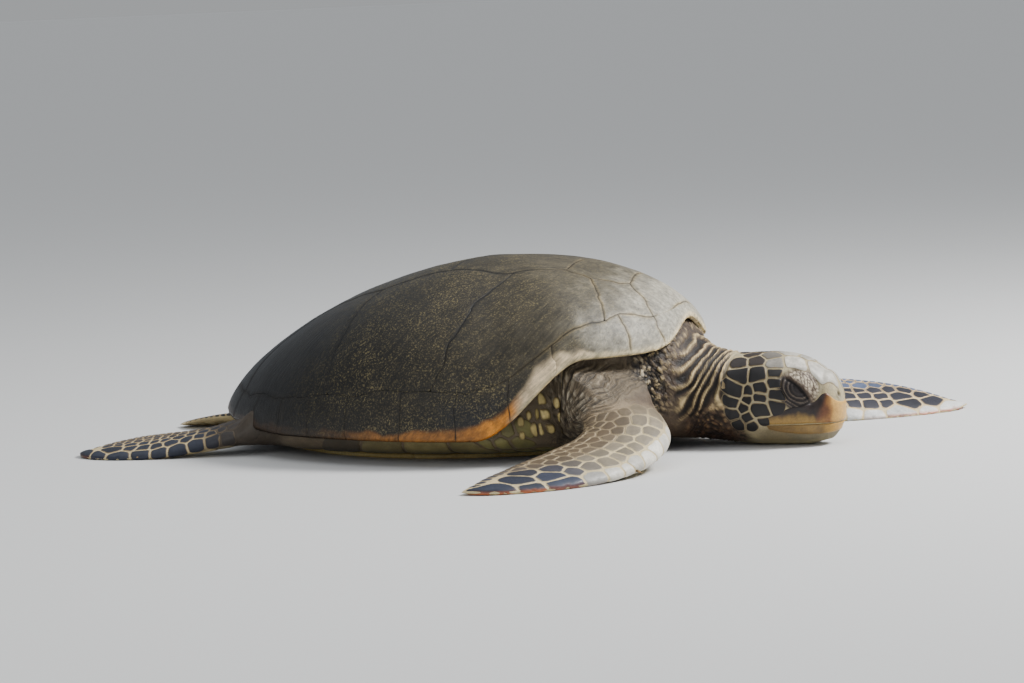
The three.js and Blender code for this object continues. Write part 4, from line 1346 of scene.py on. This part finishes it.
headPlates = [   # place along x and up the cheek, and size: temple, behind the eye, cheek, jaw
    (426, 130, 13), (452, 134, 17), (479, 130, 15), (456, 114, 20), (431, 112, 18), (482, 115, 12),
    (484, 101, 13), (488, 84, 13), (488, 65, 14),
    (462, 95, 15), (445, 90, 11), (422, 92, 17), (462, 80, 11), (443, 76, 10), (436, 64, 11), (462, 61, 17),
    (441, 49, 11), (418, 72, 12), (419, 54, 11), (466, 44, 8), (446, 36, 9), (426, 38, 10),
]
spacers = [   # left bare: the eye, the lip, two by the nose and the nostril
    (520, 92, 26), (520, 50, 20), (550, 66, 13), (546, 90, 8), (569, 79, 7)]
crownPlates = [  # place along x and across the crown from the mid line, and size
    (547, 18, 20), (547, -18, 20), (521, 0, 13),        # prefrontals and frontal
    (510, 33, 16), (510, -33, 16), (495, 0, 17),        # over the eyes and between them
    (468, 24, 17), (468, -24, 17),                      # parietals
    (441, 18, 13), (441, -18, 13), (424, 0, 9), (452, 0, 9),
]
headLook = {"gap": 2.1, "corners": 44, "rim": 1.3, "uneven": 0.15, "shiftLeft": (1.5, 1.0)}
# crown and pale: the crown's plates lighter than the cheek's and its front ones whitish, their own lighter
# horn with a painted highlight and sheen
headPaint = tones({"plate": (25, 23, 24), "crown": (56, 47, 42), "paleSheen": (184, 179, 167),
                   "border": (140, 122, 90)})


def acrossFrom(x, z):
    # the way round from the top to this height on the right cheek
    row = int(np.argmin(np.abs(bodyRows - x)))
    half = slice(2, columnCount // 2 + 1)
    fraction = np.interp(z, plainSkin[bodyIndex[row, half], 2], bodyFractions[half])
    return (0.5 - fraction) * bodyRound[row]


def headScales():
    # each row: place on the skin's plane, size, whether it is kept, and how near the crown
    rows = []
    for side in (1, -1):
        ahead, round = (0, 0) if side > 0 else headLook["shiftLeft"]
        rows += [(x + ahead, side * acrossFrom(x, z) + round, size, 1, smooth(z, 112, 140))
                 for x, z, size in headPlates]
        rows += [(x, side * acrossFrom(x, z), size, 0, 0) for x, z, size in spacers]
    rows += [(x, across, size, 1, 1) for x, across, size in crownPlates]
    rows = np.array(rows, float)
    seeds, sizes, kept, crown = rows[:, :2], rows[:, 2], rows[:, 3] > 0, rows[:, 4]
    height = (1.1 + 0.03 * sizes) * (1 - 0.25 * crown)
    shape, fromEdge, each = scaleShape(seeds, sizes, headLook["gap"], height, onBody, headLook["corners"],
                                       kept, plateProfile)
    # pale front crown plates: light horn, partly a painted sheen
    paleSheen = (crown * smooth(seeds[:, 0], 455, 500))[kept]
    cores = tinted([crown[kept] * 0.6, paleSheen], headPaint["plate"], headPaint["crown"], headPaint["paleSheen"])
    cores = uneven(cores, headLook["uneven"], 1.4)
    colour = scaleTints(shape, fromEdge, each, cores, headPaint["border"], headLook["rim"])
    blotch = lumps(shape[0], 6, 97) + 0.7 * lumps(shape[0], 2.6, 98)
    colour = colour * (1 + 0.2 * blotch * np.repeat(paleSheen, each)).clip(0.4, 1.4)[:, None]
    addPiece("scales_head", shape, scaleHorn, "skin", [], tint=colour)
    print("head scales", kept.sum(), 2 * len(shape[1]) + len(shape[2]))


plates = {"fine": 260.0, "broad": 45.0, "contrast": 0.14, "cells": 500.0, "bump": 0.18, "net": 0.0,
          "rough": 0.5, "specular": 0.32, "coat": 0.04}
scaleHorn = hideMaterial("scaleHorn", plates)
headScales()

# Rows of scales on a limb, from the leading edge inwards over the top, then those beneath:
# distance from the edge, length along the limb and width across.
foreRows = {
    "across": [6, 36, 61, 83, 102, 118, 132, -30, -56, -80, -102],
    "long": [24, 32, 33, 29, 25, 20, 16, 30, 26, 24, 22],
    "wide": [36, 26, 24, 20, 18, 15, 13, 26, 24, 22, 20],
    "tipPlates": [70, 29, 62, 36, 28],       # lengths of the first plates of the leading edge
    "start": 8, "root": "root",              # where they start along the limb, and their tone there
}
hindRows = {
    "across": [4, 28, 47, 63, 77, 90, -22, -42, -60],
    "long": [25, 26, 22, 18, 15, 13, 22, 20, 18],
    "wide": [30, 21, 17, 14, 13, 12, 20, 18, 16],
    "tipPlates": [40, 26, 38, 30],
    "start": -6, "root": "hindRoot",
}
beneath, trailing = 20, 12          # row numbers of the scales beneath and on the trailing edge
limbLook = {"gap": 1.7, "corners": 24, "rim": 1.5, "uneven": 0.14, "trailSize": 6.5}


def limbSeeds(limb, rows):
    # walks each row from the tip towards the body; the row ends where the limb is too narrow
    seeds, sizes, rowOf = [], [], []
    length, start = limb["along"][-1], rows["start"]
    for number, (across, long, wide) in enumerate(zip(rows["across"], rows["long"], rows["wide"])):
        isTop = across > 0
        at = length - (4 if number == 0 else 6 + random.uniform(0, 14))
        passed = 0
        while at > start + (8 * abs(across) / 40 if isTop else 30):
            half = np.interp(at, limb["along"], limb["round"]) / 2
            stretch = mix(0.8, 1.3, smooth(at / length, 0.45, 0.95)) if 0 < number < 4 else 1.0
            step = long * stretch * random.uniform(0.72, 1.35)
            if number == 0 and passed < len(rows["tipPlates"]):
                step = rows["tipPlates"][passed]
            passed += 1
            inner = abs(across) + wide * (0.55 if isTop else 0.5)
            if number == 0 or inner < half - (5 if isTop else 2):
                seeds.append([at - step / 2, across + random.uniform(-1, 1) * wide * 0.16])
                sizes.append((step + wide) / 4 * 1.06 * random.uniform(0.9, 1.1))
                rowOf.append(number if isTop else beneath)
            at -= step
    at = length - 16
    while at > start + 60:
        half = np.interp(at, limb["along"], limb["round"]) / 2
        step = random.uniform(11, 15)
        seeds.append([at - step / 2, half - 5])
        sizes.append(limbLook["trailSize"])
        rowOf.append(trailing)
        at -= step
    return np.array(seeds), np.array(sizes), np.array(rowOf)


def limbScales(name, rows, paint):
    # the scales fade into the skin over the root, and are rusty where they touch the floor
    limb, start = limbs[name], rows["start"]
    seeds, sizes, rowOf = limbSeeds(limb, rows)
    fade = smooth(seeds[:, 0], start - 10, start + 60)
    height = (0.75 + 0.02 * sizes) * mix(0.5, 1, fade)
    shape, fromEdge, each = scaleShape(seeds, sizes, limbLook["gap"], height, onLimb(limb),
                                       limbLook["corners"])
    cores, border = paint(seeds[:, 0] / limb["along"][-1], rowOf)
    cores = np.where((rowOf == beneath)[:, None], scalePaint["under"], cores)
    root = scalePaint[rows["root"]]
    border = mix(root, border * np.ones_like(cores), fade[:, None])
    cores = uneven(mix(root, cores, fade[:, None]), limbLook["uneven"])
    colour = scaleTints(shape, fromEdge, each, cores, border, limbLook["rim"])
    edge = fading(shape[0][:, 2], 2.5, 7.0) * smooth(np.repeat(seeds[:, 0], each), 200, 330)
    colour = covered(colour, scalePaint["rust"], 0.8 * edge)
    addPiece("scales_" + name, shape, scaleHorn, "skin", [], tint=colour)
    print("limb scales", name, len(seeds), 2 * len(shape[1]) + len(shape[2]))


scalePaint = tones({
    "root": (106, 92, 71), "hindRoot": (70, 62, 53), "elbowPaleLit": (206, 201, 188), "elbowInner": (128, 118, 100),
    "slate": (43, 48, 62), "slateInner": (46, 50, 64), "rust": (196, 112, 66),
    "brown": (88, 74, 56), "brownGrey": (80, 76, 74), "border": (206, 188, 146),
    "brownBorder": (158, 141, 109), "farPlatePaleLit": (196, 196, 192), "farDark": (40, 40, 48),
    "farRearSkyReflection": (78, 88, 112), "farBorder": (214, 184, 136), "hind": (42, 46, 58),
    "hindInner": (60, 58, 62), "hindBorder": (168, 144, 104), "under": (192, 178, 140),
})


def paintNear(out, row):
    # scales and borders by how far out they are and their row: pale at the elbow, partly a
    # painted highlight, slate towards the tip, brown inwards
    edge = smooth(out, 0.42, 0.66)
    first = tinted([edge], scalePaint["elbowPaleLit"], scalePaint["slate"])
    second = tinted([edge], scalePaint["elbowInner"], scalePaint["slateInner"])
    inner = tinted([smooth(out, 0.6, 0.9)], scalePaint["brown"], scalePaint["brownGrey"])
    depth = (smooth(row, 1.5, 3.5) * fading(out, 0.78, 0.95))[:, None]
    colour = np.where((row == 0)[:, None], first, mix(second, inner, depth))
    border = mix(scalePaint["border"], scalePaint["brownBorder"], depth)
    return colour, np.where((row == beneath)[:, None], scalePaint["border"], border)


def paintFar(out, row):
    # pale along the leading edge, partly a painted highlight, then dark, and blue grey at the
    # rear, partly a painted sky reflection, all the way out
    colour = np.where((row == 0)[:, None], scalePaint["farPlatePaleLit"], scalePaint["farDark"])
    return np.where((row > 3)[:, None], scalePaint["farRearSkyReflection"], colour), scalePaint["farBorder"]


def paintHind(out, row):
    # slate, browner inwards, all the way out
    return np.where((row < 3)[:, None], scalePaint["hind"], scalePaint["hindInner"]), scalePaint["hindBorder"]


limbScales("foreRight", foreRows, paintNear)
limbScales("foreLeft", foreRows, paintFar)
limbScales("hindRight", hindRows, paintHind)
limbScales("hindLeft", hindRows, paintHind)


def addScales(name, seeds, sizes, height, place, look, cores, border):
    # scales of one kind on the body
    shape, fromEdge, each = scaleShape(seeds, sizes, look["gap"], height, place, look["corners"])
    colour = scaleTints(shape, fromEdge, each, cores, tone(*border), look["rim"])
    addPiece(name, shape, scaleHorn, "skin", [], tint=colour)


crescents = {"x": (143, 205), "low": 46.0, "high": 84.0, "spacing": 13.5, "tall": 1.9, "size": 3.9,
             "height": 3.2, "gap": 3.2, "corners": 24, "rim": 2.4, "dullShaded": (150, 132, 78),
             "lit": (212, 190, 128), "border": (92, 76, 50)}


def crescentScales():
    # upright raised scales behind the armpit, twice as tall as wide: their cells are laid
    # out on a plane squeezed along the way round
    seeds = []
    first, tall, spacing = crescents["x"][0], crescents["tall"], crescents["spacing"]
    for side in (1, -1):
        for x in np.arange(*crescents["x"], spacing):
            top = crescents["high"] + 0.25 * (x - first)
            for z in np.arange(crescents["low"] + random.uniform(0, 9), top, spacing * 1.5):
                seeds.append([x + random.uniform(-3, 3) - 0.2 * (z - 60), side * acrossFrom(x, z) / tall])

    def squeezed(plane):
        # back from the squeezed plane to the skin
        return onBody(plane * np.array([1, tall]))

    sizes = crescents["size"] * random.uniform(0.8, 1.2, len(seeds))
    # each scale at a random share between a shaded and a lit copy of one yellow: painted shade and painted
    # highlight
    cores = tinted([random.uniform(0, 1, len(seeds))], tone(*crescents["dullShaded"]), tone(*crescents["lit"]))
    addScales("scales_armpit", np.array(seeds), sizes, crescents["height"], squeezed, crescents, cores,
              crescents["border"])


flank = {   # wide plates under the carapace, then smaller ones towards the armpit
    "rows": [   # first place along x, height, size, count and spacing
        (-168, 22, 38, 4, 78), (88, 34, 14, 3, 25), (100, 53, 12, 3, 23), (112, 17, 14, 3, 26)],
    # wide and small: olive tones darkened as painted shade under the rim
    "gap": 3.0, "corners": 30, "rim": 3.0, "uneven": 0.12, "wide": (112, 102, 66), "small": (104, 98, 58),
    "rear": (66, 58, 46), "border": (78, 66, 42),
}


def flankScales():
    # both sides' rows, each scale moved a little up or down; greenish, darkened as painted shade
    # under the rim, and darker at the rear
    seeds, sizes = [], []
    for side in (1, -1):
        for x, z, size, count, spacing in flank["rows"]:
            for place in x + spacing * np.arange(count):
                seeds.append([place, side * acrossFrom(place, z) + random.uniform(-1, 1) * size * 0.08])
                sizes.append(size * random.uniform(0.9, 1.1))
    seeds, sizes = np.array(seeds), np.array(sizes)
    cores = tinted([sizes > 20], tone(*flank["small"]), tone(*flank["wide"]))
    cores = covered(cores, tone(*flank["rear"]), fading(seeds[:, 0], -175, -40))
    addScales("scales_flank", seeds, sizes, 1.0 + 0.03 * sizes, onBody, flank, uneven(cores, flank["uneven"]),
              flank["border"])


crescentScales()
flankScales()
print("stage: scales")


# Beak: a sheath round each jaw. Its surface lies where a level ray from inside the head,
# at each bearing and height, leaves the plain head, plus the head's form and the sheath.
beak = {
    "thickness": 1.5, "inner": -2.5, "origin": 500.0, "spread": 117.0, "rows": 150, "half": 15,
    "upperLip": 36.6, "lowerLip": 35.2,
    # edges against the skin, along x and up
    "upperEdge": ([460, 488, 506, 530, 543, 553, 561, 569, 580], [42, 54, 62, 67, 71, 81, 82, 72, 64]),
    "lowerEdge": ([460, 480, 505, 540, 560, 580], [31, 25, 21, 19, 19, 22]),
}
beakPaint = tones({
    "black": (24, 20, 21), "dark": (46, 34, 30), "lip": (150, 118, 58), "rust": (132, 80, 48),
    "tip": (196, 152, 80), "jaw": (136, 108, 58), "jawDark": (108, 84, 48), "jawTip": (182, 140, 66),
    "chin": (108, 98, 74),
})


def leavesHead(bearing, z):
    # halves the interval 0..130 until the section test changes sign
    tiny = 1e-6
    low = np.zeros(np.broadcast(bearing, z).shape)
    high = np.full(low.shape, 130.0)
    for _ in range(24):
        reach = (low + high) / 2
        x, y = beak["origin"] + reach * np.cos(bearing), reach * np.sin(bearing)
        middle, width, over, under, roundness = sectionParts(x)
        up = (z - middle) / (np.where(z > middle, over, under) + tiny)
        test = np.abs(y / (width + tiny)) ** (2 / roundness) + np.abs(up) ** (2 / roundness)
        outside = (test > 1) | (x > snout["start"] + snout["length"])
        low, high = np.where(outside, low, reach), np.where(outside, reach, high)
    return low


def beakPiece(name, node, edges, tints):
    # the sheath from its low to its high edge, outer face up and inner face down, thinning
    # to its ends behind; edges give the heights from x
    rows, half = beak["rows"], beak["half"]
    bearing = np.radians(np.linspace(-beak["spread"], beak["spread"], rows))[:, None]
    guess = beak["origin"] + leavesHead(bearing, np.full((rows, 1), 40.0)) * np.cos(bearing)
    up = np.linspace(0, 1, half)[None]
    z = mix(*(edge(guess) for edge in edges), up)
    end = 180 - beak["spread"]
    thin = smooth(np.degrees(np.pi - np.abs(bearing)), end, end + 8)
    outer = beak["thickness"] * (1 - np.abs(2 * up - 1) ** 8) * mix(0.2, 1, thin)
    away = np.stack([np.cos(bearing), np.sin(bearing), 0 * bearing], -1)
    faces = []
    for level, extra in ((z, outer), (z[:, ::-1], beak["inner"])):
        reach = leavesHead(bearing, level)
        point = np.stack([beak["origin"] + reach * np.cos(bearing), reach * np.sin(bearing), level], -1)
        faces.append(point + away * (headForm(point) + extra)[..., None])
    ring = np.concatenate(faces, 1)
    ring[..., 2] = np.maximum(ring[..., 2], 0.2)
    share = np.linspace(0, 1, rows)[:, None]
    around = np.linspace(0, 1, 2 * half)[None]
    uv = 0.02 + 0.96 * np.stack(np.broadcast_arrays(share, around), -1)
    shape = stack(ring, ring[0].mean(0), ring[-1].mean(0), uv, [0.01, 0.5], [0.99, 0.5])
    addPiece(name, shape, beakHorn, "beak", [node], tint=tints(shape[0]))


def upperTints(place):
    # black above, ochre along the lip, rust and then pale at the tip
    x, z = place[:, 0], place[:, 2]
    fine, soft = lumps(place * np.array([1, 1, 0.35]), 5, 95), lumps(place, 14, 96)
    tip = smooth(x + 7 * soft + 3 * fine - 0.22 * (z - 50), 545, 567)
    lip = fading(z + 5 * soft + 3 * fine, 42, 53)
    front = smooth(x + 4 * soft + 3 * fine, 557, 575)
    return tinted([0.5 + 0.5 * fine, lip * 0.85, tip * 0.9, tip * front],
                  *(beakPaint[key] for key in ("black", "dark", "lip", "rust", "tip")))


def lowerTints(place):
    # ochre, brighter at the tip and duller beneath
    x, z = place[:, 0], place[:, 2]
    fine, soft = lumps(place * np.array([1, 1, 0.35]), 5, 97), lumps(place, 14, 98)
    return tinted([0.5 + 0.5 * soft, smooth(x, 545, 570), fading(z, 10, 18) * 0.6],
                  beakPaint["jaw"] * (1 + 0.12 * fine[:, None]),
                  *(beakPaint[key] for key in ("jawDark", "jawTip", "chin")))


def edgeOf(key):
    # height of the edge from x: a constant lip, or the cubic through its stations
    if key.endswith("Lip"):
        return lambda x: np.full_like(x, beak[key])
    return lambda x: through(*beak[key], x)


horn = {"fine": 300.0, "broad": 70.0, "contrast": 0.18, "cells": 300.0, "bump": 0.2, "net": 0.0,
        "rough": 0.42, "specular": 0.36, "coat": 0.08}
beakHorn = hideMaterial("beakHorn", horn)
beakPiece("beak_upper", "upper_beak", (edgeOf("upperLip"), edgeOf("upperEdge")), upperTints)
beakPiece("beak_lower", "lower_beak", (edgeOf("lowerEdge"), edgeOf("lowerLip")), lowerTints)
print("stage: beak")


# Eyeballs behind the closed lids: rings of a ball, turned so that the pupil faces outwards.
eyes = {"x": 512.0, "out": 33.0, "up": 91.0, "radius": 17.0, "pupil": (17, 19), "iris": (33, 36),
        "black": (10, 9, 8), "brown": (66, 48, 30), "white": (34, 30, 28)}


def eyeball(side):
    # centre + radius * (direction at each angle from the pole and round it)
    radius, pole = eyes["radius"], np.array([0, side * eyes["radius"], 0])
    centre = np.array([eyes["x"], side * eyes["out"], eyes["up"]])
    polar = np.linspace(0, np.pi, 34)[1:-1, None]
    around = np.linspace(0, 2 * np.pi, 40, endpoint=False)[None]
    outwards = np.cos(polar) * side + 0 * around
    ring = np.stack([np.sin(polar) * np.cos(around), outwards, np.sin(polar) * np.sin(around)], -1)
    uv = 0.5 + 0.47 * (polar / np.pi)[..., None] * np.stack([np.cos(around), np.sin(around)], -1)
    shape = stack(centre + radius * ring, centre + pole, centre - pole, uv, [0.5, 0.5], [0.98, 0.98])
    tilt = np.degrees(np.arccos(np.clip((shape[0][:, 1] - centre[1]) * side / radius, -1, 1)))
    return shape, tinted([smooth(tilt, *eyes["pupil"]), smooth(tilt, *eyes["iris"])],
                         *(tone(*eyes[key]) for key in ("black", "brown", "white")))


wet = {"fine": 400.0, "broad": 90.0, "contrast": 0.05, "cells": 300.0, "bump": 0.0, "net": 0.0,
       "rough": 0.16, "specular": 0.6, "coat": 0.6}
eyeLook = hideMaterial("eyeWet", wet)
for name, side in (("left", 1), ("right", -1)):
    shape, colour = eyeball(side)
    addPiece("eyeball_" + name, shape, eyeLook, "eye", ["eye_" + name], tint=colour)


# Claws: a curved cone on each flipper's leading edge, radius = root * (1 - share)^0.7.
claw = {"root": 4.4, "length": 22.0, "droop": 2.2, "flat": 0.8, "base": (74, 60, 46), "tip": (150, 122, 80)}
clawSeats = {   # the middle's place and the heading
    "fore_left": ((484, 258, 12), (0.62, -0.78, -0.05)), "fore_right": ((372, -396, 12), (0.88, -0.45, -0.1)),
    "hind_left": ((-520, 228, 7), (-0.42, 0.9, 0)), "hind_right": ((-520, -228, 7), (-0.42, -0.9, 0)),
}


def clawShape(place, heading):
    # rings along a line that droops as share^2
    place, heading, down = np.array(place), unit(np.array(heading)), np.array([0, 0, -claw["droop"]])
    level = unit(np.cross([0, 0, 1], heading))
    reach = heading * claw["length"] / 2
    share = np.linspace(0, 0.97, 18)[:, None]
    around = np.linspace(0, 2 * np.pi, 20, endpoint=False)[None]
    radius = claw["root"] * (1 - share) ** 0.7
    line = place + heading * (claw["length"] * (share - 0.5))[..., None] + down * (share**2)[..., None]
    ring = line + (radius * np.cos(around))[..., None] * level
    ring = ring + (claw["flat"] * radius * np.sin(around))[..., None] * np.cross(heading, level)
    ring[..., 2] = np.maximum(ring[..., 2], 0.3)
    uv = np.stack(np.broadcast_arrays(0.02 + 0.9 * share, 0.02 + 0.48 * around / np.pi), -1)
    shape = stack(ring, place - reach, place + reach + down, uv, [0.01, 0.5], [0.97, 0.5])
    out = np.clip((shape[0] - place) @ heading / claw["length"] + 0.5, 0, 1)
    return shape, tinted([smooth(out, 0.4, 1)], tone(*claw["base"]), tone(*claw["tip"]))


for name, seat in clawSeats.items():
    shape, colour = clawShape(*seat)
    addPiece("horn_" + name, shape, beakHorn, "claw", ["claw_" + name], tint=colour)
print("stage: eyes and claws")


# Plastron: two flat plates, with shallow grooves along the mid line and the cross seams.
plastron = {"front": 246.0, "rear": -335.0, "seam": -60.0, "halfWidth": 206.0, "endWidth": 12.0,
            "groove": 1.2, "grooveWidth": 1.6, "crossSeams": [188.0, 100.0, 15.0, -60.0, -160.0, -252.0]}
plastronPaint = tones({"bone": (206, 188, 128), "stain": (176, 150, 92), "groove": (104, 84, 50)})


def plastronHalf(x):
    # half the width: sin^0.4 of the way along, a little narrower at both ends
    along = np.pi * np.clip((x - plastron["rear"]) / (plastron["front"] - plastron["rear"]), 0, 1)
    full = np.sin(along) ** 0.4 * (0.8 + 0.2 * np.sin(along))
    return mix(plastron["endWidth"], plastron["halfWidth"], full)


def plastronPiece(name, start, end):
    # rings from the middle out to the outline, up over the edge and back inside
    x = np.linspace(start, end, 60)
    side = np.column_stack([x, plastronHalf(x), 0 * x])
    loop = evenRing(np.concatenate([side, side[::-1] * [1, -1, 1]]), np.linspace(0, 1, 200, endpoint=False))
    middle = np.array([(start + end) / 2, 0, 0])
    share = np.array([*np.linspace(0.04, 0.98, 36), 1, 1, 0.98, 0.7])
    level = np.array([*np.zeros(35), 0.3, 1.6, 7.0, 8.6, 8.6])
    ring = middle + share[:, None, None] * (loop - middle)
    wander = 3 * lumps(ring, 40, 99)
    groove = hill(ring[..., 1] + wander, 0, plastron["grooveWidth"])
    for seam in plastron["crossSeams"]:
        across = ring[..., 0] + wander + 0.1 * np.abs(ring[..., 1])
        groove = np.maximum(groove, hill(across, seam, plastron["grooveWidth"]))
    under = (level < 1)[:, None]
    groove = groove * under
    ring[..., 2] = 0.2 + level[:, None] + plastron["groove"] * groove
    uv = (ring[..., :2] - [start, -210]) / 430
    uv = uv * np.where(under, 0.78, 0.18)[..., None] + np.where(under, 0.2, 0.01)[..., None]
    shape = stack(ring, middle + [0, 0, 0.2], middle + [0, 0, 8.8], uv, uv[0].mean(0), uv[-1].mean(0))
    stain = 0.4 + 0.4 * lumps(shape[0], 50, 101)
    colour = tinted([stain, 0.7 * np.append(groove.ravel(), [0, 0])], *plastronPaint.values())
    addPiece("plate_" + name, shape, scaleHorn, "plastron", [name], tint=colour)


plastronPiece("plastron_front", plastron["seam"] + 0.3, plastron["front"])
plastronPiece("plastron_rear", plastron["rear"], plastron["seam"])
print("stage: plastron")


# Camera, floor and light.
camera = {"yaw": 21.0, "elevation": 5.5, "roll": -2.5, "distance": 5.88, "lens": 129.7,
          "sensor": 36, "farthest": 200, "target": np.array([0.033, 0.0, 0.162])}
ground = {"reach": 300.0, "colour": (0.62, 0.62, 0.61, 1.0), "rough": 0.8}      # half its side in metres


def placeCamera():
    # looks at the target from its bearing, then turned about its own line of sight
    yaw, lift, roll = (math.radians(camera[key]) for key in ("yaw", "elevation", "roll"))
    back = np.array([math.sin(yaw) * math.cos(lift), -math.cos(yaw) * math.cos(lift), math.sin(lift)])
    level = np.array([math.cos(yaw), math.sin(yaw), 0.0])
    over = np.cross(back, level)
    right = math.cos(roll) * level + math.sin(roll) * over
    up = -math.sin(roll) * level + math.cos(roll) * over
    data = bpy.data.cameras.new("camera")
    data.lens = camera["lens"]
    data.sensor_width = camera["sensor"]
    data.clip_end = camera["farthest"]
    item = newObject("camera", data)
    rotation = Matrix(np.column_stack([right, up, back]).tolist()).to_4x4()
    item.matrix_world = Matrix.Translation(Vector(camera["target"] + back * camera["distance"])) @ rotation
    bpy.context.scene.camera = item


def placeFloor():
    # one level square, wide enough that its far edge stays above the view
    reach = ground["reach"]
    corners = [(-reach, -reach, 0), (reach, -reach, 0), (reach, reach, 0), (-reach, reach, 0)]
    mesh = bpy.data.meshes.new("floor")
    mesh.from_pydata(corners, [], [(0, 1, 2, 3)])
    material, add = painter("floorPaper")
    shader = add("BsdfPrincipled", Base_Color=ground["colour"], Roughness=ground["rough"])
    add("OutputMaterial", Surface=shader)
    mesh.materials.append(material)
    floor = newObject("floor", mesh)


lights = {   # place, size in metres and power of each soft panel
    "key": ((2.7, 1.0, 2.8), 1.0, 280),
    "fill": ((-0.6, -4.4, 2.0), 3.0, 46),
}
lightAim = Vector((0.05, 0.0, 0.15))
sky = {"strength": 0.35, "colour": (0.80, 0.86, 0.94, 1.0), "above": 1.1, "softness": 1.3,
       "backdrop": (0.383, 0.394, 0.403, 1.0)}


def placeLights():
    # two panels, and a wide soft light from straight above
    for name, (place, size, power) in lights.items():
        data = bpy.data.lights.new(name, "AREA")
        data.size = size
        data.energy = power
        item = newObject(name, data)
        item.location = place
        item.rotation_euler = (lightAim - Vector(place)).to_track_quat("-Z", "Y").to_euler()
    data = bpy.data.lights.new("above", "SUN")
    data.energy = sky["above"]
    data.angle = sky["softness"]
    item = newObject("above", data)


def placeSky():
    # lights the scene in one colour, and shows the far floor's own grey to the camera
    world = bpy.data.worlds.new("world")
    bpy.context.scene.world = world
    world.use_nodes = True
    tree = world.node_tree
    light = tree.nodes["Background"]
    light.inputs["Color"].default_value = sky["colour"]
    light.inputs["Strength"].default_value = sky["strength"]
    seen = tree.nodes.new("ShaderNodeBackground")
    seen.inputs["Color"].default_value = sky["backdrop"]
    path = tree.nodes.new("ShaderNodeLightPath")
    both = tree.nodes.new("ShaderNodeMixShader")
    tree.links.new(path.outputs["Is Camera Ray"], both.inputs[0])
    tree.links.new(light.outputs[0], both.inputs[1])
    tree.links.new(seen.outputs[0], both.inputs[2])
    tree.links.new(both.outputs[0], tree.nodes["World Output"].inputs["Surface"])


placeCamera()
placeFloor()
placeLights()
placeSky()
print("stage: camera and light")
